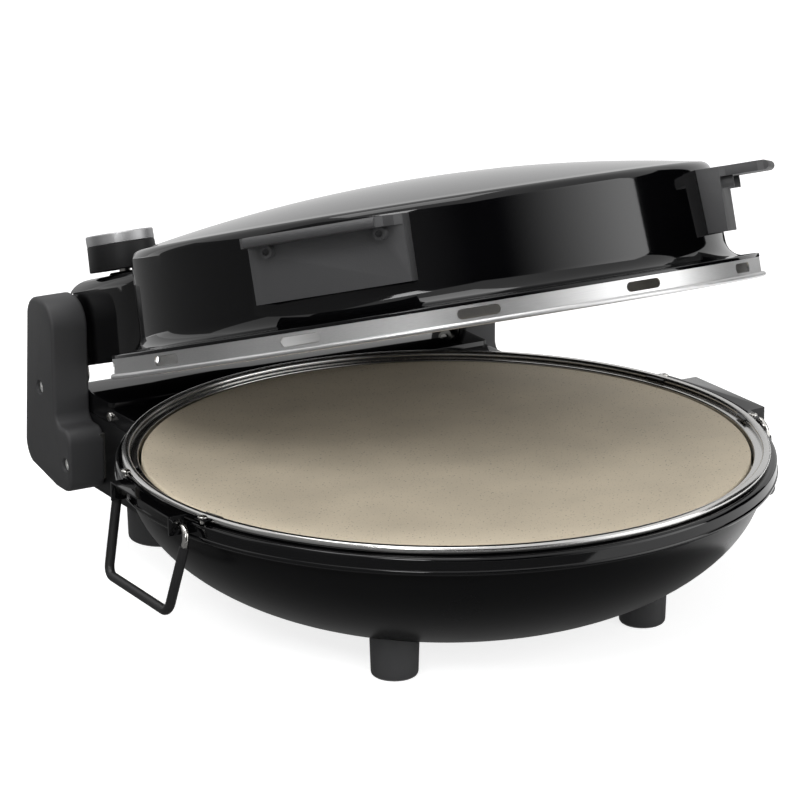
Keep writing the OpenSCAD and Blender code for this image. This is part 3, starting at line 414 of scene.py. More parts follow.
def copy_of_node(node: str, name: str, soft: float = 0.0) -> bpy.types.Object:
    """Makes a merged working copy of a CAD node's mesh, to be dressed in its stead.

    Args:
        node: the CAD node.
        name: name of the new piece.
        soft: width of the rounding of its sharp edges, in millimetres.

    Returns:
        The copy, in its place.
    """
    piece = own_copy(frame["nodes"][node], name)
    piece.data.materials.clear()
    hold(piece)
    bpy.context.tool_settings.mesh_select_mode = (True, False, False)
    merge, flat = 0.00001, math.radians(0.5)
    with edit_mode("SELECT"):
        bpy.ops.mesh.remove_doubles(threshold=merge)
        bpy.ops.mesh.dissolve_limited(angle_limit=flat)
    if piece.data.has_custom_normals:
        bpy.ops.mesh.customdata_custom_splitnormals_clear()
    if soft:
        soften(piece, soft)
    return piece


# Finishes ---------------------------------------------------------------------------------


def linear(colour: str) -> tuple[float, float, float, float]:
    """An sRGB hex colour as linear numbers.

    Args:
        colour: "#" and six hex digits.

    Returns:
        Red, green, blue and alpha.
    """
    parts = [int(colour[i:i + 2], 16) / 255 for i in (1, 3, 5)]
    toe = [c / 12.92 if c <= 0.04045 else ((c + 0.055) / 1.055) ** 2.4 for c in parts]
    return (toe[0], toe[1], toe[2], 1.0)


def empty_tree(owner: bpy.types.Material | bpy.types.World) -> bpy.types.NodeTree:
    """Gives a material or world a node tree with nothing in it.

    Args:
        owner: the material or world.

    Returns:
        The tree.
    """
    owner.use_nodes = True
    owner.node_tree.nodes.clear()
    return owner.node_tree


def add_node(tree: bpy.types.NodeTree, kind: str, settings: dict[str, Any] | None = None,
             links: dict[str | int, bpy.types.NodeSocket] | None = None) -> bpy.types.Node:
    """Adds a node with its settings and links.

    Args:
        tree: the node tree.
        kind: Blender's name of the node type.
        settings: values of sockets or of the node's own properties.
        links: sockets of other nodes, keyed by this node's input.

    Returns:
        The node.
    """
    node = tree.nodes.new(kind)
    for key, value in (settings or {}).items():
        if not isinstance(key, int) and hasattr(node, key):
            setattr(node, key, value)
        else:
            node.inputs[key].default_value = value
    for key, source in (links or {}).items():
        tree.links.new(source, node.inputs[key])
    return node


def pattern_scale(size_mm: float) -> float:
    """The Scale of a noise on Object coordinates whose features have this size."""
    return 1 / (size_mm * MM)


@dataclass(frozen=True)
class Finish:
    """What every finish has in common: one surface with a fine relief and a slight unevenness."""

    name: str
    colour: str
    roughness: float
    metallic: float = 0.0
    ior: float = 1.5
    grain_mm: float = 1.0
    relief_mm: float = 0.01
    uneven_mm: float = 30.0
    rough_swing: float = 0.04
    shade_swing: float = 0.05
    cloud_low: float = 0.3
    cloud_high: float = 0.7

    def material(self) -> bpy.types.Material:
        """Builds the material once and gives it back on later calls.

        Returns:
            The material.
        """
        made = bpy.data.materials.get(self.name)
        if made is not None:
            return made
        made = bpy.data.materials.new(self.name)
        tree = empty_tree(made)
        shader = add_node(tree, "ShaderNodeBsdfPrincipled",
                          {"Metallic": self.metallic, "IOR": self.ior})
        where = add_node(tree, "ShaderNodeTexCoord").outputs["Object"]
        self.paint(tree, shader, where)
        add_node(tree, "ShaderNodeOutputMaterial", links={"Surface": shader.outputs["BSDF"]})
        return made

    def paint(self, tree: bpy.types.NodeTree, shader: bpy.types.Node,
              where: bpy.types.NodeSocket) -> None:
        """Adds colour, roughness and relief to the shader.

        Args:
            tree: the material's tree.
            shader: its surface shader.
            where: the Object coordinates.
        """
        cloud, grain = (
            add_node(tree, "ShaderNodeTexNoise", {"Scale": pattern_scale(size), "Detail": detail},
                     {"Vector": where}).outputs["Fac"]
            for size, detail in ((self.uneven_mm, 3.0), (self.grain_mm, 2.0)))
        self.link_surface(tree, shader, cloud, grain)

    def link_surface(self, tree: bpy.types.NodeTree, shader: bpy.types.Node,
                     cloud: bpy.types.NodeSocket,
                     grain: bpy.types.NodeSocket) -> bpy.types.NodeSocket:
        """Links the soft cloud to colour and roughness and the grain to the relief.

        Args:
            tree: the material's tree.
            shader: its surface shader.
            cloud: the soft, wide pattern.
            grain: the fine pattern.

        Returns:
            The socket of the uneven colour.
        """
        base = Vector(linear(self.colour)[:3])
        ramp = add_node(tree, "ShaderNodeValToRGB", links={"Fac": cloud})
        for stop, at, swing in zip(ramp.color_ramp.elements, (self.cloud_low, self.cloud_high),
                                   (-self.shade_swing, self.shade_swing)):
            stop.position = at
            stop.color = (*(base * (1 + swing)), 1)
        rough = add_node(tree, "ShaderNodeMapRange", {
            "From Min": self.cloud_low, "From Max": self.cloud_high,
            "To Min": max(0.0, self.roughness - self.rough_swing),
            "To Max": self.roughness + self.rough_swing}, {"Value": cloud})
        bump = add_node(tree, "ShaderNodeBump",
                        {"Strength": 1.0, "Distance": self.relief_mm * MM}, {"Height": grain})
        tree.links.new(ramp.outputs["Color"], shader.inputs["Base Color"])
        tree.links.new(rough.outputs["Result"], shader.inputs["Roughness"])
        tree.links.new(bump.outputs["Normal"], shader.inputs["Normal"])
        return ramp.outputs["Color"]


@dataclass(frozen=True)
class BrushedSheet(Finish):
    """Stainless sheet brushed round an axis: fine lines that follow the ring."""

    axis: Point3 = (0.0, -0.022, 0.0)
    tilt: float = 0.0
    line_mm: float = 0.35
    line_share: float = 0.65

    def paint(self, tree: bpy.types.NodeTree, shader: bpy.types.Node,
              where: bpy.types.NodeSocket) -> None:
        """Draws the lines from the distance to the axis and the height alone.

        Args:
            tree: the material's tree.
            shader: its surface shader.
            where: the Object coordinates.
        """
        centred = add_node(tree, "ShaderNodeMapping",
                           {"vector_type": "TEXTURE", "Location": self.axis,
                            "Rotation": (math.radians(self.tilt), 0, 0)}, {"Vector": where})
        part = add_node(tree, "ShaderNodeSeparateXYZ", links={"Vector": centred.outputs[0]})
        flat = add_node(tree, "ShaderNodeCombineXYZ",
                        links={"X": part.outputs["X"], "Y": part.outputs["Y"]})
        radius = add_node(tree, "ShaderNodeVectorMath", {"operation": "LENGTH"},
                          {0: flat.outputs[0]})
        lines_at = add_node(tree, "ShaderNodeCombineXYZ",
                            links={"X": radius.outputs["Value"], "Y": part.outputs["Z"]})
        cloud, lines = (
            add_node(tree, "ShaderNodeTexNoise", {"Scale": pattern_scale(size), "Detail": detail},
                     {"Vector": at}).outputs["Fac"]
            for size, detail, at in ((self.uneven_mm, 2.0, where),
                                     (self.line_mm, 3.0, lines_at.outputs[0])))
        mixed = add_node(tree, "ShaderNodeMix", {"data_type": "FLOAT", 0: self.line_share},
                         {2: cloud, 3: lines})
        self.link_surface(tree, shader, mixed.outputs[0], lines)


@dataclass(frozen=True)
class FiredClay(Finish):
    """Cordierite: pale beige, dull, with sand grains and fine pores."""

    speck: str = "#8f7f63"
    speck_mm: float = 1.1
    speck_low: float = 0.66
    speck_high: float = 0.74
    speck_share: float = 0.7

    def paint(self, tree: bpy.types.NodeTree, shader: bpy.types.Node,
              where: bpy.types.NodeSocket) -> None:
        """Mixes a soft cloud with sparse specks and lets the pores dent the surface.

        Args:
            tree: the material's tree.
            shader: its surface shader.
            where: the Object coordinates.
        """
        cloud, grain, specks = (
            add_node(tree, "ShaderNodeTexNoise", {"Scale": pattern_scale(size), "Detail": detail},
                     {"Vector": where}).outputs["Fac"]
            for size, detail in ((self.uneven_mm, 4.0), (self.grain_mm, 3.0),
                                 (self.speck_mm, 1.0)))
        colour = self.link_surface(tree, shader, cloud, grain)
        sparse = add_node(tree, "ShaderNodeMapRange",
                          {"From Min": self.speck_low, "From Max": self.speck_high,
                           "To Min": 0.0, "To Max": self.speck_share},
                          {"Value": specks})
        mixed = add_node(tree, "ShaderNodeMix", {"data_type": "RGBA", 7: linear(self.speck)},
                         {0: sparse.outputs["Result"], 6: colour})
        tree.links.new(mixed.outputs[2], shader.inputs["Base Color"])


# Sprayed and fired enamel on steel: deep black, mirror-like, with a faint orange peel
GLOSS_ENAMEL = Finish("gloss_enamel", "#050506", 0.06, ior=1.42, grain_mm=6, relief_mm=0.006,
                      uneven_mm=60, rough_swing=0.015, shade_swing=0.2)
# Sprayed enamel with less shine on the bowl: it shows soft grey light
SATIN_ENAMEL = Finish("satin_enamel", "#060607", 0.3, ior=1.3, grain_mm=2.5, relief_mm=0.01,
                      uneven_mm=50, rough_swing=0.03, shade_swing=0.1)
# High-gloss moulded ABS of the console: long, slightly wavy reflections
GLOSS_ABS = Finish("gloss_abs", "#060607", 0.07, ior=1.36, grain_mm=9, relief_mm=0.006,
                   uneven_mm=80, rough_swing=0.02, shade_swing=0.2)
# Spark-eroded heat-proof nylon of the lid handles and feet: dark grey with a fine even grain,
# drawn as coarse as it shows
MATT_NYLON = Finish("matt_nylon", "#383839", 0.55, grain_mm=0.7, relief_mm=0.05,
                    uneven_mm=40, rough_swing=0.05, shade_swing=0.06)
# The arms' nylon comes from another mould and is a shade darker
ARM_NYLON = Finish("arm_nylon", "#333334", 0.55, ior=1.45, grain_mm=0.7, relief_mm=0.05,
                   uneven_mm=40, rough_swing=0.05, shade_swing=0.06)
# The same nylon in black for the housing and the knob
BLACK_NYLON = Finish("black_nylon", "#0b0b0c", 0.5, ior=1.36, grain_mm=0.8, relief_mm=0.03,
                     uneven_mm=40, rough_swing=0.05, shade_swing=0.1)
# Drawn silicone sleeve on the bails: black with a soft sheen
SILICONE = Finish("silicone_sleeve", "#161617", 0.42, grain_mm=1.2, relief_mm=0.02,
                  uneven_mm=20, rough_swing=0.05, shade_swing=0.1)
# Nickel-plated wire and screws: small sharp highlights
NICKEL = Finish("nickel_plate", "#cfcdc9", 0.16, metallic=1.0, grain_mm=1.5, relief_mm=0.003,
                uneven_mm=12, rough_swing=0.05, shade_swing=0.04)
# Zinc plate of the arms' deep-set screws, dull enough to catch light from every side
ZINC_PLATE = Finish("zinc_plate", "#f2f2f0", 0.5, metallic=0.7, grain_mm=1.0, relief_mm=0.004,
                    uneven_mm=10, rough_swing=0.05, shade_swing=0.04)
# Rolled steel of hidden brackets, lugs and clips
ROLLED_STEEL = Finish("rolled_steel", "#a3a29e", 0.38, metallic=1.0, grain_mm=1.2,
                      relief_mm=0.01, uneven_mm=25, rough_swing=0.06, shade_swing=0.08)
# Oxidised sheath of the heating loops: dark, half dull
SHEATH = Finish("oxidised_sheath", "#3d403f", 0.5, metallic=0.6, grain_mm=0.8, relief_mm=0.01,
                uneven_mm=18, rough_swing=0.08, shade_swing=0.2)
# Steatite of the terminal blocks and the thermostat: pale and dense
STEATITE = Finish("steatite", "#e3ddcf", 0.35, grain_mm=1.0, relief_mm=0.01, uneven_mm=20)
# Pressed and fired baking stone
CORDIERITE = FiredClay("cordierite", "#efe1c8", 0.85, grain_mm=0.9, relief_mm=0.06,
                       uneven_mm=45, rough_swing=0.05, shade_swing=0.07)
# Stainless ring of the lid, brushed as it turned
LID_STEEL = BrushedSheet("brushed_lid_ring", "#cccccc", 0.4, metallic=1.0,
                         relief_mm=0.004, uneven_mm=35, rough_swing=0.07, shade_swing=0.08,
                         tilt=-17.8)
# Spun stainless pan with its bright bead
PAN_STEEL = BrushedSheet("spun_pan", "#cbcac8", 0.2, metallic=1.0,
                         relief_mm=0.004, uneven_mm=50, rough_swing=0.05, shade_swing=0.06)
# Reflector sheet painted dark as painted shade: it stands in for the shade inside the lid, so that
# the ring's slots look dark
SHADE_PAINTED_SHEET = BrushedSheet("blued_reflector", "#343332", 0.34, metallic=1.0,
                           relief_mm=0.004, uneven_mm=50, rough_swing=0.05, shade_swing=0.06,
                           tilt=-17.8)
# Satin aluminium cap of the knob
CAP_ALUMINIUM = Finish("satin_aluminium", "#adadae", 0.45, metallic=1.0, grain_mm=0.3,
                       relief_mm=0.004, uneven_mm=15, rough_swing=0.05, shade_swing=0.05)


def hand_over(piece: bpy.types.Object, finish: Finish, body: str, slot: str,
              *nodes: str, smooth: float = 32.0) -> None:
    """Dresses a finished piece and fixes it to its body.

    Args:
        piece: the piece, in its place.
        finish: its finish.
        body: the CAD body that carries it.
        slot: the record's material slot; not used.
        nodes: CAD nodes that it stands for.
        smooth: faces that meet under this many degrees are shaded as one surface.
    """
    hold(piece)
    piece.data.materials.clear()
    piece.data.materials.append(finish.material())
    bpy.ops.object.shade_smooth_by_angle(angle=math.radians(smooth))
    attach(piece, body)
    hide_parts(*nodes)
    log.info("%s: %d faces on %s", piece.name, len(piece.data.polygons), body)


def dress_copy(node: str, name: str, finish: Finish, body: str, slot: str,
               soft: float = 0.0, smooth: float = 40.0) -> None:
    """Puts a dressed and softened copy of a CAD node in its stead.

    Args:
        node: the CAD node.
        name: name of the new piece.
        finish: its finish.
        body: the CAD body that carries it.
        slot: the record's material slot.
        soft: width of the rounding of its sharp edges, in millimetres.
        smooth: faces that meet under this many degrees are shaded as one surface.
    """
    hand_over(copy_of_node(node, name, soft), finish, body, slot, node, smooth=smooth)


def dress_nodes(finish: Finish, *nodes: str) -> None:
    """Gives CAD nodes that stay their finish.

    Args:
        finish: the finish.
        nodes: the CAD nodes.
    """
    for node in nodes:
        mesh = frame["nodes"][node].data
        mesh.materials.clear()
        mesh.materials.append(finish.material())


# Screws -----------------------------------------------------------------------------------


@dataclass(frozen=True)
class CrossHead:
    """A pan-head screw seen from outside: a domed head with a cross recess."""

    radius: float
    height: float
    shank: float
    depth: float = 3.0
    rim_share: float = 0.35
    slot_length: float = 1.15
    slot_width: float = 0.3
    slot_depth: float = 1.1
    dome_step: int = 15

    def build(self) -> bpy.types.Object:
        """Turns the head and cuts its cross.

        Returns:
            The screw in drawing millimetres, along +Z, with its head's seat at Z = 0.
        """
        low = self.height * self.rim_share
        profile = [(0, -self.depth), (self.shank, -self.depth), (self.shank, 0),
                   (self.radius, 0), (self.radius, low)]
        for degrees in range(self.dome_step, 90, self.dome_step):
            a = math.radians(degrees)
            profile.append((self.radius * math.cos(a), low + (self.height - low) * math.sin(a)))
        screw = turn("head", profile + [(0, self.height)], BAR_STEPS)
        long, wide, deep = (self.radius * self.slot_length, self.radius * self.slot_width,
                            self.height * self.slot_depth)
        tools = []
        for span in ((long, wide, deep), (wide, long, deep)):
            deselect_all()
            bpy.ops.mesh.primitive_cube_add(size=1, location=(0, 0, self.height))
            tool = bpy.context.object
            tool.scale = span
            bpy.ops.object.transform_apply(location=True, rotation=True, scale=True)
            tools.append(tool)
        cut(screw, tools)
        return screw


def fit_heads(name: str, head: CrossHead, spots: Sequence[Matrix], node: str) -> None:
    """Fits a group of equal screws of the base and hands it over as one piece.

    Args:
        name: name of the group.
        head: the screw.
        spots: place of each screw.
        node: the CAD node that the group stands for.
    """
    model = head.build()
    heads = [own_copy(model, "head") for _ in spots]
    bpy.data.objects.remove(model)
    for screw, spot in zip(heads, spots):
        place(screw, spot)
    hand_over(join(name, heads), NICKEL, "base", "bright_steel", node)


# Base -------------------------------------------------------------------------------------


@dataclass
class Base:
    """Bowl, cover, pan, stone, feet and rear housing."""

    layout: Layout
    cover_r: float = 171.0
    cover_z: float = 85.5
    cover_soft: float = 0.35
    skirt: float = 9.0
    sheet: float = 1.6
    bowl_r: float = 164.0
    bowl_flat_r: float = 86.0
    bowl_z: float = 13.0
    bowl_share: float = 0.25
    bowl_sheet: float = 1.2
    bowl_bend: float = 1.2
    bowl_steps: int = 24
    bowl_gap: float = 0.5
    lip_gap: float = 0.3
    pan_sheet: float = 1.0
    pan_wall_r: float = 158.5
    pan_depth: float = 20.0
    pan_ledge: float = 10.0
    floor_bend: float = 3.0
    ledge_bend: float = 1.2
    wall_bend: float = 1.0
    bead_r: float = 167.0
    bead: float = 2.2
    bead_lift: float = 0.05
    bead_start: float = 214.0
    bead_foot: float = 2.0
    stone_r: float = 157.0
    stone_t: float = 10.0
    stone_sunk: float = 0.5
    stone_step: float = 2.0
    stone_low_edge: float = 0.6
    stone_top_edge: float = 1.5
    stone_face_rings: Point2 = (12.0, 60.0)
    half_w: float = 117.5
    housing_soft: float = 0.3
    screw: CrossHead = CrossHead(2.6, 1.5, 1.6)
    screw_y: float = 153.0
    screw_drop: float = 5.0

    def build(self) -> None:
        """Makes the base's own pieces and dresses the CAD nodes that stay."""
        self.bowl()
        self.pan()
        self.stone()
        dress_copy("base_cover", "cover", GLOSS_ENAMEL, "base", "gloss_black", self.cover_soft)
        self.feet()
        self.housing()
        self.screws()
        dress_nodes(SHEATH, "lower_element")
        dress_nodes(ROLLED_STEEL, "lower_element_clips")
        dress_nodes(STEATITE, "lower_terminal_block")
        dress_nodes(NICKEL, "foot_screws")

    @property
    def ledge_z(self) -> float:
        """Height of the pan's ledge, on which the stone lies."""
        return self.cover_z + self.pan_sheet - self.stone_t - self.stone_sunk

    def bowl_line(self, r_top: float, z_flat: float, z_top: float) -> list[Point2]:
        """The bowl's curve from its flat bottom to its upright edge.

        Args:
            r_top: radius at the edge.
            z_flat: height of the flat bottom.
            z_top: height of the edge.

        Returns:
            The curve's points, from the bottom up.
        """
        line = []
        for i in range(self.bowl_steps + 1):
            a = math.radians(90 * i / self.bowl_steps)
            rise = self.bowl_share * math.sin(a) + (1 - self.bowl_share) * (1 - math.cos(a))
            line.append((self.bowl_flat_r + (r_top - self.bowl_flat_r) * math.sin(a),
                         z_flat + (z_top - z_flat) * rise))
        return line

    def bowl(self) -> None:
        """The satin bowl: one pressed sheet with a flange under the cover."""
        top = self.cover_z - self.skirt - self.bowl_gap
        flange = self.cover_z - self.sheet
        under = flange - self.bowl_sheet
        lip_r = self.cover_r - self.sheet - self.lip_gap
        inner_r, inner_z = self.bowl_r - self.bowl_sheet, self.bowl_z + self.bowl_sheet
        profile = [(0, self.bowl_z)] + self.bowl_line(self.bowl_r, self.bowl_z, top)
        profile += arc((self.bowl_r + self.bowl_bend, under - self.bowl_bend), self.bowl_bend,
                       180, 90, 4)
        profile += [(lip_r, under), (lip_r, flange), (inner_r, flange)]
        profile += self.bowl_line(inner_r, inner_z, top)[::-1] + [(0, inner_z)]
        piece = turn("bowl", profile)
        place(piece, self.layout.base_matrix())
        hand_over(piece, SATIN_ENAMEL, "base", "satin_black", "base_bowl")

    def pan(self) -> None:
        """The spun pan: floor, ledge, wall and flange with a rolled bead."""
        t, ledge_z, wall_r = self.pan_sheet, self.ledge_z, self.pan_wall_r
        floor_z = ledge_z - self.pan_depth
        floor_r = wall_r - self.pan_ledge
        mid_r, mid_z = self.bead_r - self.bead, self.cover_z + self.bead + self.bead_lift
        deep, low, high = self.floor_bend, self.ledge_bend, self.wall_bend
        profile = [(0, floor_z + t), (floor_r - t - deep, floor_z + t)]
        profile += arc((floor_r - t - deep, floor_z + t + deep), deep, -90, 0, 5)
        profile += arc((floor_r - t + low, ledge_z - low), low, 180, 90, 4)
        profile += arc((wall_r - high, ledge_z + high), high, -90, 0, 4)
        profile += arc((wall_r + high, self.cover_z + t - high), high, 180, 90, 5)
        profile += arc((mid_r, mid_z), self.bead, self.bead_start, -90, 24)
        profile += [(mid_r - self.bead_foot, self.cover_z), (wall_r + t, self.cover_z),
                    (wall_r + t, ledge_z - t), (floor_r, ledge_z - t),
                    (floor_r, floor_z), (0, floor_z)]
        piece = turn("pan", profile)
        place(piece, self.layout.base_matrix())
        hand_over(piece, PAN_STEEL, "base", "pan_metal", "heater_pan")

    def stone(self) -> None:
        """The baking stone with its step and worn upper edge."""
        low, r, edge = self.ledge_z, self.stone_r, self.stone_top_edge
        top, step_z = low + self.stone_t, low + self.stone_t / 3
        foot_r = r - self.stone_step
        profile = [(0, low), (foot_r - self.stone_low_edge, low),
                   (foot_r, low + self.stone_low_edge), (foot_r, step_z), (r, step_z)]
        profile += arc((r - edge, top - edge), edge, 0, 90, 6)
        profile += [(r - inset, top) for inset in self.stone_face_rings] + [(0, top)]
        piece = turn("stone", profile)
        place(piece, self.layout.base_matrix())
        hand_over(piece, CORDIERITE, "base", "stone", "pizza_stone")

    def feet(self) -> None:
        """Four moulded feet."""
        for side in Side:
            for row in ("front", "rear"):
                node = f"{row}_foot_{side.word}"
                dress_copy(node, f"{node}_moulding", MATT_NYLON, "base", "grey_plastic")

    def housing(self) -> None:
        """Rear housing, its floor and the cord gland."""
        for node, name, finish, slot in (
                ("rear_housing", "housing_shell", BLACK_NYLON, "black_plastic"),
                ("rear_housing_floor", "housing_floor", BLACK_NYLON, "black_plastic"),
                ("cord_gland", "gland", SILICONE, "dark_rubber")):
            dress_copy(node, name, finish, "base", slot, self.housing_soft)

    def screws(self) -> None:
        """Cross-head screws on the cover's sides."""
        spot = Matrix.Translation((self.half_w, self.screw_y, self.cover_z - self.screw_drop))
        fit_heads("cover_screw_heads", self.screw,
                  [self.layout.side_matrix(side) @ spot @ spin(90, "Y") for side in Side],
                  "cover_screws")


# Hinge arms -------------------------------------------------------------------------------


@dataclass
class HingeArms:
    """The two moulded arms with recesses for their screws."""

    layout: Layout
    inner_x: float = 117.6
    width: float = 21.5
    front_y: float = 177.1
    rear_y: float = 215.0
    rear_lean: float = 6.0
    top_z: float = 139.0
    low_z: float = 38.0
    boot_y: float = 159.5
    boot_z: float = 73.0
    boot_bend: float = 8.0
    neck_bend: float = 6.0
    heel_rise: float = 18.0
    heel_bend: float = 14.0
    heel_start: float = -62.0
    rear_bend: float = 12.0
    front_bend: float = 15.0
    edge: float = 2.0
    screw_y: float = 165.0
    screw_z: float = 53.5
    upper_back: float = 4.0
    upper_drop: float = 6.0
    recess_r: float = 3.6
    recess_depth: float = 4.5
    recess_flare: float = 0.6
    recess_rim: float = 0.5
    overcut: float = 0.2
    pocket: tuple[Point2, ...] = ((160, 44), (200, 50), (200, 106), (181, 106), (181, 68),
                                  (160, 66))
    pocket_from: float = -1.0
    pocket_to: float = 3.0

    def outline(self) -> list[Point2]:
        """The arm's side view, the boot towards the front.

        Returns:
            The outline's points in Y and Z.
        """
        boot, neck, heel = self.boot_bend, self.neck_bend, self.heel_bend
        rear, front = self.rear_bend, self.front_bend
        line = arc((self.boot_y + boot, self.low_z + boot), boot, 180, 270, 8)
        line += [(self.front_y, self.low_z)]
        line += arc((self.rear_y - heel, self.low_z + self.heel_rise), heel,
                    self.heel_start, 0, 8)
        line += arc((self.rear_y - self.rear_lean - rear, self.top_z - rear), rear, 0, 90, 10)
        line += arc((self.front_y + front, self.top_z - front), front, 90, 180, 10)
        line += arc((self.front_y - neck, self.boot_z + neck), neck, 0, -90, 7)
        line += arc((self.boot_y + boot, self.boot_z - boot), boot, 90, 180, 8)
        return line

    def build(self) -> None:
        """Makes both arms and dresses the metal parts that stay as CAD nodes."""
        model = self.moulding()
        for side in Side:
            arm = own_copy(model, f"arm_{side.word}")
            place(arm, self.layout.side_matrix(side))
            hand_over(arm, ARM_NYLON, "base", "grey_plastic", f"hinge_arm_{side.word}",
                      smooth=35)
        bpy.data.objects.remove(model)
        dress_nodes(ROLLED_STEEL, "hinge_bracket_left", "hinge_bracket_right")
        dress_nodes(NICKEL, "hinge_pin_left", "hinge_pin_right")
        dress_nodes(ZINC_PLATE, "arm_screws")

    def moulding(self) -> bpy.types.Object:
        """The arm: a rounded board with two screw recesses outside and a pocket inside.

        Returns:
            The right-hand arm, in drawing millimetres.
        """
        outer, r = self.inner_x + self.width, self.recess_r
        piece = slab("arm", self.outline(), self.inner_x, outer, self.edge)
        recess = [(0, -self.recess_depth), (r, -self.recess_depth), (r, -self.recess_rim),
                  (r + self.recess_flare, self.overcut), (0, self.overcut)]
        upper = (self.layout.hinge_y + self.upper_back, self.layout.hinge_z - self.upper_drop)
        tools = []
        for spot in (upper, (self.screw_y, self.screw_z)):
            tools.append(turn("recess", recess, HOLE_STEPS))
            place(tools[-1], Matrix.Translation((outer, *spot)) @ spin(90, "Y"))
        tools.append(slab("pocket", self.pocket, self.inner_x + self.pocket_from,
                          self.inner_x + self.pocket_to))
        cut(piece, tools)
        return piece


# Bails ------------------------------------------------------------------------------------


@dataclass
class Bails:
    """Swinging carrying bails with their brackets, drawn for the right side."""

    layout: Layout
    pivot_x: float = 171.2
    pivot_z: float = 83.45
    wire_r: float = 1.75
    wire_ends: float = 0.3
    grip_r: float = 2.5
    grip_ends: float = 0.5
    grip_drops: Point2 = (2.6, 3.4)
    near_y: float = -41.5
    far_y: float = 34.5
    bar_near_y: float = -36.5
    bar_far_y: float = 29.5
    length: float = 43.5
    lean: float = 12.0
    bend: float = 6.0
    far_bend: float = 2.4
    near_lip: float = -33.0
    far_lip: float = 31.5
    pin_in: float = 4.5
    bracket_soft: float = 0.25
    plate_top: float = 88.75
    bead_edge: float = 168.3
    room_turn: float = 12.7
    room_reach: float = 15.0
    room_over: float = 2.0
    room_under: float = 5.0
    screw: CrossHead = CrossHead(2.4, 1.1, 1.45)
    tab_turn: float = 14.4
    tab_r: float = 168.5
    cross_turn: float = 25.0

    def build(self) -> None:
        """Makes wire, sleeve and bracket of both sides, and the brackets' screws."""
        wire = round_bar("wire", self.wire_line(), self.wire_r, self.wire_ends)
        sleeve = round_bar("sleeve", self.sleeve_line(), self.grip_r, self.grip_ends)
        for side in Side:
            word = side.word
            for model, name, finish, slot, node in (
                    (wire, f"bail_wire_{word}_bent", NICKEL, "bright_steel", "bail_wire"),
                    (sleeve, f"bail_sleeve_{word}", SILICONE, "dark_rubber", "bail_grip")):
                piece = own_copy(model, name)
                place(piece, self.bail_matrix(side))
                hand_over(piece, finish, f"bail_{word}", slot, f"{node}_{word}", smooth=40)
            bracket = copy_of_node(f"bail_bracket_{word}", f"bracket_{word}")
            cut(bracket, [self.bead_room(side)])
            soften(bracket, self.bracket_soft)
            hand_over(bracket, GLOSS_ENAMEL, "base", "gloss_black", f"bail_bracket_{word}",
                      smooth=40)
        for model in (wire, sleeve):
            bpy.data.objects.remove(model)
        tab = Matrix.Translation((self.tab_r, 0, self.plate_top)) @ spin(self.cross_turn, "Z")
        fit_heads("bracket_screw_heads", self.screw,
                  [self.layout.side_matrix(side) @ spin(turned, "Z") @ tab
                   for side in Side for turned in (-self.tab_turn, self.tab_turn)],
                  "bail_bracket_screws")

    def bead_room(self, side: Side) -> bpy.types.Object:
        """What the plate leaves free between its two tabs, so that the pan's bead shows.

        Args:
            side: the side of the bracket.

        Returns:
            The shape to cut away, in its place.
        """
        inner_y = self.bead_edge - self.room_reach
        inner_x = inner_y * math.sin(math.radians(self.room_turn))
        line = arc((0, 0), self.bead_edge, 90 + self.room_turn, 90 - self.room_turn, 24)
        line += [(inner_x, inner_y), (-inner_x, inner_y)]
        room = slab("bead_room", line[::-1], -self.plate_top - self.room_over,
                    -self.plate_top + self.room_under)
        place(room, self.layout.side_matrix(side) @ spin(90, "Y"))
        return room

    def bail_matrix(self, side: Side) -> Matrix:
        """From the hanging drawing in Y and Z to the leaning bail."""
        pivot = Matrix.Translation((self.pivot_x, 0, self.pivot_z))
        return self.layout.side_matrix(side) @ pivot @ spin(-self.lean, "Y")

    def low_line(self) -> list[Point2]:
        """The lower corners, from the near leg to the far leg.

        Returns:
            The points of both bends.
        """
        near = math.degrees(math.atan((self.bar_near_y - self.near_y) / (self.length - self.bend)))
        far = math.degrees(math.atan((self.far_y - self.bar_far_y)
                                     / (self.length - self.far_bend)))
        near_cut = self.bend * math.tan(math.radians((90 - near) / 2))
        far_cut = self.bend * math.tan(math.radians((90 - far) / 2))
        z = self.bend - self.length
        return (arc((self.bar_near_y + near_cut, z), self.bend, 180 + near, 270, 10)
                + arc((self.bar_far_y - far_cut, z), self.bend, 270, 360 - far, 10))

    def wire_line(self) -> list[Point2]:
        """The wire's middle line from pin to pin.

        Returns:
            The line's points.
        """
        return ([(self.near_lip + self.pin_in, 0)]
                + arc((self.near_y + self.bend, -self.bend), self.bend, 90, 180, 12)
                + self.low_line()
                + arc((self.far_y - self.far_bend, -self.far_bend), self.far_bend, 0, 90, 8)
                + [(self.far_lip - self.pin_in, 0)])

    def sleeve_line(self) -> list[Point2]:
        """The sleeve's middle line, over the wire from below its upper bends.

        Returns:
            The line's points.
        """
        low = self.low_line()
        near = [down_leg((self.near_y, -self.bend), low[0], d) for d in self.grip_drops]
        far = [down_leg((self.far_y, -self.far_bend), low[-1], d) for d in self.grip_drops]
        return near + low + far[::-1]


# Lid --------------------------------------------------------------------------------------


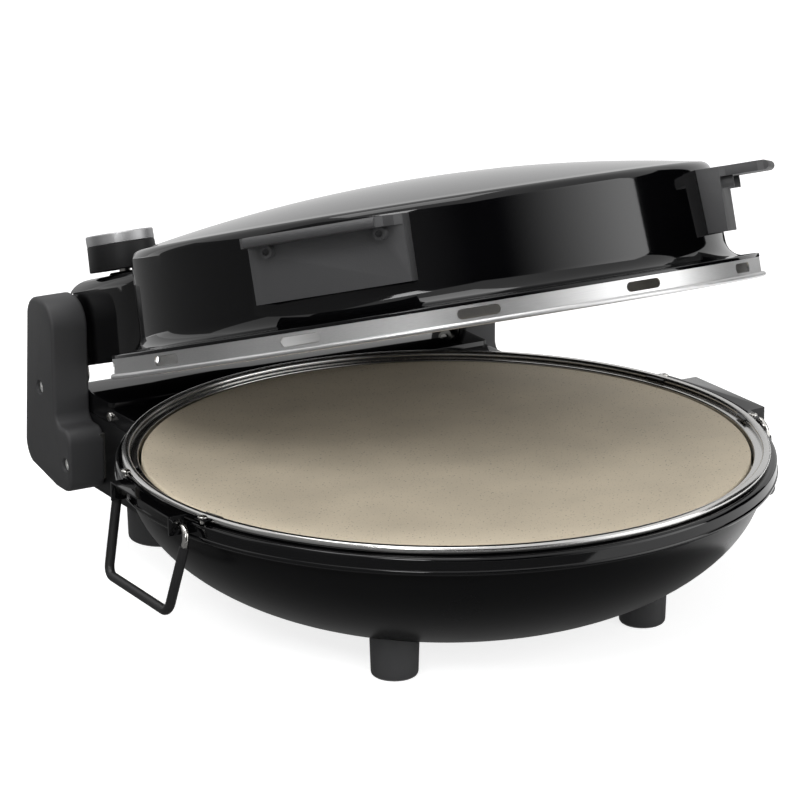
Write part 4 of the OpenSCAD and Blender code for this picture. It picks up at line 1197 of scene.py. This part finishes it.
@dataclass
class Lid:
    """Domed shell, slotted ring, reflector, console and handles."""

    layout: Layout
    low_z: float = 90.3
    ring_r: float = 167.4
    ring_h: float = 10.3
    wall_low_r: float = 151.75
    wall_top_r: float = 150.0
    wall_h: float = 62.7
    dome_h: float = 14.2
    dome_steps: int = 24
    edge_r: float = 5.0
    fillet_r: float = 9.0
    sheet: float = 1.2
    rim_h: float = 1.9
    rim_inset: float = 0.4
    rim_bend: float = 0.6
    console_soft: float = 0.4
    handle_soft: float = 0.6

    def build(self) -> None:
        """Makes the lid's own pieces and dresses the CAD nodes that stay."""
        self.shell()
        for node, name, finish, slot, soft, smooth in (
                ("lid_ring", "slotted_ring", LID_STEEL, "brushed", 0.0, 35),
                ("console_cover", "console_moulding", GLOSS_ABS, "console_black",
                 self.console_soft, 45),
                ("console_floor", "console_underside", BLACK_NYLON, "black_plastic", 0.0, 40),
                ("lid_handle_left", "handle_left", MATT_NYLON, "grey_plastic",
                 self.handle_soft, 40),
                ("lid_handle_right", "handle_right", MATT_NYLON, "grey_plastic",
                 self.handle_soft, 40),
                # The reflector and its clips take the sheet painted dark as painted shade inside
                # the lid
                ("upper_reflector", "upper_reflector_sheet", SHADE_PAINTED_SHEET, "pan_metal", 0.0, 40),
                ("upper_element_clips", "upper_element_clips_sheet", SHADE_PAINTED_SHEET, "pan_metal",
                 0.0, 40),
                ("upper_element", "upper_heating_loop", SHEATH, "heater_tube", 0.0, 40)):
            dress_copy(node, name, finish, "lid", slot, soft, smooth)
        dress_nodes(ROLLED_STEEL, "hinge_lug_left", "hinge_lug_right")
        dress_nodes(NICKEL, "lug_screws", "lid_handle_screws")
        dress_nodes(STEATITE, "upper_terminal_block", "thermostat")

    @property
    def rim_z(self) -> float:
        """Height of the shell's flat rim over the ring."""
        return self.low_z + self.ring_h + self.rim_h

    def shell_line(self, inset: float) -> list[Point2]:
        """The shell's outer line, or one that lies inside it.

        Args:
            inset: distance to the outer line.

        Returns:
            The line's points, from the dome's middle to the rim.
        """
        mid_r = self.wall_top_r - self.edge_r
        edge_z = self.low_z + self.wall_h
        big_r = (mid_r ** 2 + self.dome_h ** 2) / (2 * self.dome_h)
        line = []
        for i in range(self.dome_steps + 1):
            r = (mid_r - inset / 3) * i / self.dome_steps
            sag = big_r - math.sqrt(big_r ** 2 - r ** 2)
            line.append((r, edge_z + self.dome_h - inset - sag))
        line += arc((mid_r, edge_z - self.edge_r), self.edge_r - inset, 80, 0, 10)
        line += arc((self.wall_low_r + self.fillet_r, self.rim_z + self.fillet_r),
                    self.fillet_r + inset, 180, 270, 12)
        return line + [(self.ring_r - self.rim_inset, self.rim_z - inset)]

    def shell(self) -> None:
        """The glossy dome with its hollow, rim and turned-down lip."""
        bend, ring_top = self.rim_bend, self.low_z + self.ring_h
        middle = self.ring_r - self.rim_inset
        profile = self.shell_line(0) + arc((middle, self.rim_z - bend), bend, 90, 0, 4)
        profile += [(middle + bend, ring_top), (middle - bend, ring_top),
                    (middle - bend, self.rim_z - self.sheet)]
        profile += self.shell_line(self.sheet)[-2::-1]
        piece = turn("dome", profile)
        place(piece, self.layout.lid_matrix())
        hand_over(piece, GLOSS_ENAMEL, "lid", "gloss_black", "lid_shell", smooth=50)


# Knob -------------------------------------------------------------------------------------


@dataclass
class Knob:
    """Control knob: black grip with a satin metal cap, standing clear of the console."""

    layout: Layout
    x: float = -97.0
    y: float = 155.5
    low_z: float = 146.7
    radius: float = 18.2
    flare: float = 0.6
    height: float = 13.8
    roof: float = 3.4
    wall_top: float = 1.6
    wall_low: float = 1.9
    wall_edge: float = 0.3
    low_bend: float = 0.6
    top_bend: float = 0.4
    hub_r: float = 6.4
    hub_z: float = 0.4
    cap: float = 5.8
    cap_gap: float = 0.02
    cap_foot: float = 0.3
    cap_bend: float = 0.8
    cap_ring: float = 2.5

    def build(self) -> None:
        """Makes the grip and the cap; shaft and nut stay as CAD nodes."""
        spot = self.layout.lid_matrix() @ Matrix.Translation((self.x, self.y, self.low_z))
        for name, profile, finish, slot, node, smooth in (
                ("knob_grip", self.grip_line(), BLACK_NYLON, "black_plastic", "knob_body", 32),
                ("knob_top", self.cap_line(), CAP_ALUMINIUM, "brushed", "knob_cap", 40)):
            piece = turn(name, profile, KNOB_STEPS)
            place(piece, spot)
            hand_over(piece, finish, "knob", slot, node, smooth=smooth)
        dress_nodes(NICKEL, "knob_shaft")
        dress_nodes(BLACK_NYLON, "thermostat_nut")

    def grip_line(self) -> list[Point2]:
        """The grip's section, hollow below, with a slight flare.

        Returns:
            Radius and height of its points.
        """
        wide, roof_z = self.radius + self.flare, self.height - self.roof
        line = [(0, self.hub_z), (self.hub_r, self.hub_z), (self.hub_r, roof_z),
                (self.radius - self.wall_top, roof_z),
                (wide - self.wall_low - self.wall_edge, self.wall_edge),
                (wide - self.wall_low, 0)]
        line += arc((wide - self.low_bend, self.low_bend), self.low_bend, -90, 0, 4)
        line += arc((self.radius - self.top_bend, self.height - self.top_bend), self.top_bend,
                    0, 90, 3)
        return line + [(0, self.height)]

    def cap_line(self) -> list[Point2]:
        """The cap's section, a flat disc with a rounded rim.

        Returns:
            Radius and height of its points.
        """
        low, top, bend = self.height + self.cap_gap, self.height + self.cap, self.cap_bend
        line = [(0, low), (self.radius - self.cap_foot, low),
                (self.radius, self.height + self.cap_foot)]
        line += arc((self.radius - bend, top - bend), bend, 0, 90, 5)
        return line + [(self.radius - self.cap_ring, top), (0, top)]


# Studio -----------------------------------------------------------------------------------


def background_rays(tree: bpy.types.NodeTree) -> bpy.types.NodeSocket:
    """One socket that is 1 for the rays that show the white background.

    Args:
        tree: tree of the floor's material or the world.

    Returns:
        The socket: 1 for what is seen straight, in a gloss or through a clear piece.
    """
    path = add_node(tree, "ShaderNodeLightPath")
    seen = add_node(tree, "ShaderNodeMath", {"operation": "MAXIMUM"},
                    {0: path.outputs["Is Camera Ray"], 1: path.outputs["Is Glossy Ray"]})
    both = add_node(tree, "ShaderNodeMath", {"operation": "MAXIMUM"},
                    {0: seen.outputs[0], 1: path.outputs["Is Transmission Ray"]})
    return both.outputs[0]


@dataclass(frozen=True)
class GlossCard:
    """A flat card or panel that shows in the gloss alone.

    One without light gives the enamel its black; one with light gives it a bright band. The
    strength goes from the glow's first value to its second between the two shares of rise.
    """

    name: str
    glow: Point2 = (0.0, 0.0)
    rise: Point2 = (0.0, 1.0)
    panel_lift: float = 0.003
    card_lift: float = 0.0012

    def stand(self, start: Point2, end: Point2, height: float) -> None:
        """Stands the panel upright on the floor.

        Args:
            start: floor point under its first edge.
            end: floor point under its second edge.
            height: its height.
        """
        left, right = Vector(start), Vector(end)
        middle, span = (left + right) / 2, right - left
        panel = self.sheet((middle.x, middle.y, self.panel_lift + height / 2),
                           (span.length, height, 1))
        panel.rotation_euler = (math.pi / 2, 0, math.atan2(span.y, span.x))

    def lay(self, low: Point2, high: Point2) -> None:
        """Lays the card on the floor.

        Args:
            low: its left front corner.
            high: its right rear corner.
        """
        self.sheet(((low[0] + high[0]) / 2, (low[1] + high[1]) / 2, self.card_lift),
                   (high[0] - low[0], high[1] - low[1], 1))

    def sheet(self, middle: Point3, size: Point3) -> bpy.types.Object:
        """Makes the sheet, with its light, as a part of the stage.

        Args:
            middle: its middle.
            size: its length and width.

        Returns:
            The sheet, still flat.
        """
        deselect_all()
        bpy.ops.mesh.primitive_plane_add(size=1, location=middle)
        card = bpy.context.object
        card.name = self.name
        card.scale = size
        card.data.materials.append(self.light())
        card.visible_camera = card.visible_diffuse = card.visible_shadow = False
        return card

    def light(self) -> bpy.types.Material:
        """The light of the card, graded along its length.

        Returns:
            The material.
        """
        made = bpy.data.materials.new(self.name)
        tree = empty_tree(made)
        where = add_node(tree, "ShaderNodeTexCoord").outputs["Object"]
        part = add_node(tree, "ShaderNodeSeparateXYZ", links={"Vector": where})
        grade = add_node(tree, "ShaderNodeMapRange",
                         {"interpolation_type": "SMOOTHSTEP",
                          "From Min": self.rise[0] - 0.5, "From Max": self.rise[1] - 0.5,
                          "To Min": self.glow[0], "To Max": self.glow[1]},
                         {"Value": part.outputs["X"]})
        lit = add_node(tree, "ShaderNodeEmission", {"Color": WHITE},
                       {"Strength": grade.outputs["Result"]})
        add_node(tree, "ShaderNodeOutputMaterial", links={"Surface": lit.outputs[0]})
        return made


@dataclass(frozen=True)
class SoftBox:
    """An area lamp given by its brightness rather than its power."""

    name: str
    spot: Point3
    size: Point2
    radiance: float
    in_gloss: bool = True

    def build(self, aim: Vector) -> None:
        """Hangs the lamp and turns it towards the cooker.

        Args:
            aim: the point that it faces.
        """
        lamp = bpy.data.lights.new(self.name, "AREA")
        lamp.shape = "RECTANGLE"
        lamp.size, lamp.size_y = self.size
        lamp.energy = math.pi * self.size[0] * self.size[1] * self.radiance
        box = bpy.data.objects.new(self.name, lamp)
        bpy.context.scene.collection.objects.link(box)
        box.location = self.spot
        box.visible_camera = False
        box.visible_glossy = self.in_gloss
        box.rotation_mode = "QUATERNION"
        box.rotation_quaternion = (aim - Vector(self.spot)).to_track_quat("-Z", "Y")


LAMPS = (SoftBox("top_box", (-0.25, 0.15, 1.7), (1.2, 1.0), 3.4),
         SoftBox("rear_box", (1.35, 2.2, 0.75), (2.7, 1.5), 0.75),
         SoftBox("front_box", (-0.35, -2.0, 0.95), (2.2, 1.0), 3.3, in_gloss=False),
         SoftBox("left_box", (-1.17, -0.92, 1.12), (0.8, 0.45), 10.0))
# Each panel with the floor points under its two edges and its height, round the cooker
PANELS = (
    (GlossCard("graded_panel", (0.0, 3.5), (0.15, 0.9)), (-0.49, -2.34), (2.127, -1.091), 1.5),
    (GlossCard("right_card"), (2.12, -1.09), (1.3, 0.2), 0.9),
    (GlossCard("rear_card", (0.8, 0.7)), (1.3, 0.2), (-0.36, 1.0), 0.7),
    (GlossCard("low_right_card"), (0.85, -0.2), (0.42, 0.62), 0.07),
    (GlossCard("rear_left_card", (0.2, 0.2)), (-0.36, 0.44), (-0.9, 0.1), 0.4),
    (GlossCard("left_card", (0.26, 0.2)), (-0.9, 0.1), (-1.25, -1.3), 1.2),
    (GlossCard("front_left_card", (0.2, 0.0)), (-1.25, -1.3), (-0.49, -2.34), 1.5))
# Corners of the grey cards on the floor that the gloss alone sees: painted shadow of the floor
# under the bowl and the lid, for the black in their reflections
PAINTED_SHADOW_CARDS = (((-1.1, -1.4), (0.16, 0.58)), ((-0.6, 0.58), (0.15, 0.85)))


@dataclass
class Studio:
    """Camera, floor, world, lamps and the cards that the gloss shows."""

    layout: Layout
    turn_deg: float = -30.81
    rise_deg: float = 18.26
    distance: float = 2067.7
    focal_px: float = 3997.5
    aim_z: float = 70.0
    aim_px: Point2 = (445.95, 477.23)
    picture: float = 800.0
    sensor: float = 36.0
    clip: Point2 = (0.05, 50.0)
    lamp_aim_z: float = 100.0
    floor_size: float = 30.0
    floor_colour: str = "#d0d0d0"
    floor_glow: float = 0.8
    world_light: float = 0.27
    world_seen: float = 1.0
    # Strength of the grey floor cards that paint the floor's shadow into the gloss
    card_glow: float = 0.2

    def build(self) -> None:
        """Sets up everything that isn't part of the cooker."""
        self.camera()
        self.floor()
        self.world()
        for box in LAMPS:
            box.build(Vector((0, self.layout.axis_y, self.lamp_aim_z)) * MM)
        for panel, start, end, height in PANELS:
            panel.stand(start, end, height)
        # Grey floor cards seen only in the gloss, as painted shadow under the bowl and the lid
        for low, high in PAINTED_SHADOW_CARDS:
            GlossCard("table_card", (self.card_glow, self.card_glow)).lay(low, high)
        bpy.context.scene.view_settings.view_transform = "Standard"

    def camera(self) -> None:
        """Puts the camera where the photograph was taken from and turns it to match."""
        a, e = math.radians(self.turn_deg), math.radians(self.rise_deg)
        back = Vector((math.sin(a) * math.cos(e), -math.cos(a) * math.cos(e), math.sin(e)))
        right = Vector((math.cos(a), math.sin(a), 0))
        up = back.cross(right)
        ahead = -back
        half = self.picture / 2
        ray = Vector(((self.aim_px[0] - half) / self.focal_px,
                      -(self.aim_px[1] - half) / self.focal_px, 1)).normalized()
        yaw, pitch = math.atan2(ray.x, ray.z), math.asin(ray.y)
        up_turned = up * math.cos(pitch) + ahead * math.sin(pitch)
        level = -up * math.sin(pitch) + ahead * math.cos(pitch)
        right_turned = right * math.cos(yaw) + level * math.sin(yaw)
        ahead_turned = -right * math.sin(yaw) + level * math.cos(yaw)
        aim = Vector((0, self.layout.axis_y, self.aim_z))
        spot = (aim + back * self.distance) * MM
        lens = bpy.data.cameras.new("picture_camera")
        lens.sensor_width = self.sensor
        lens.lens = self.focal_px * self.sensor / self.picture
        lens.clip_start, lens.clip_end = self.clip
        camera = bpy.data.objects.new("picture_camera", lens)
        bpy.context.scene.collection.objects.link(camera)
        turned = Matrix((right_turned, up_turned, -ahead_turned)).transposed().to_4x4()
        camera.matrix_world = Matrix.Translation(spot) @ turned
        bpy.context.scene.camera = camera

    def floor(self) -> None:
        """A wide pale floor that shows white behind the cooker and keeps its shadow."""
        deselect_all()
        bpy.ops.mesh.primitive_plane_add(size=self.floor_size)
        floor = bpy.context.object
        floor.name = "floor"
        paint = bpy.data.materials.new("pale_floor")
        tree = empty_tree(paint)
        matt = add_node(tree, "ShaderNodeBsdfDiffuse", {"Color": linear(self.floor_colour)})
        glow = add_node(tree, "ShaderNodeEmission",
                        {"Color": WHITE, "Strength": self.floor_glow})
        both = add_node(tree, "ShaderNodeAddShader",
                        links={0: matt.outputs[0], 1: glow.outputs[0]})
        seen = add_node(tree, "ShaderNodeMixShader",
                        links={0: background_rays(tree), 1: matt.outputs[0],
                               2: both.outputs[0]})
        add_node(tree, "ShaderNodeOutputMaterial", links={"Surface": seen.outputs[0]})
        floor.data.materials.append(paint)

    def world(self) -> None:
        """An even pale world that shows white behind the cooker."""
        world = bpy.data.worlds.new("studio")
        bpy.context.scene.world = world
        tree = empty_tree(world)
        soft, white = (add_node(tree, "ShaderNodeBackground", {"Color": WHITE, "Strength": s})
                       for s in (self.world_light, self.world_seen))
        seen = add_node(tree, "ShaderNodeMixShader",
                        links={0: background_rays(tree), 1: soft.outputs[0],
                               2: white.outputs[0]})
        add_node(tree, "ShaderNodeOutputWorld", links={"Surface": seen.outputs[0]})


def main() -> None:
    """Builds the cooker and its studio, in order."""
    logging.basicConfig(level=logging.INFO, format="%(name)s %(message)s")
    layout = Layout()
    for assembly in (Base, HingeArms, Bails, Lid, Knob, Studio):
        assembly(layout).build()
        log.info("%s is built", assembly.__name__)


if __name__ == "__main__":
    main()
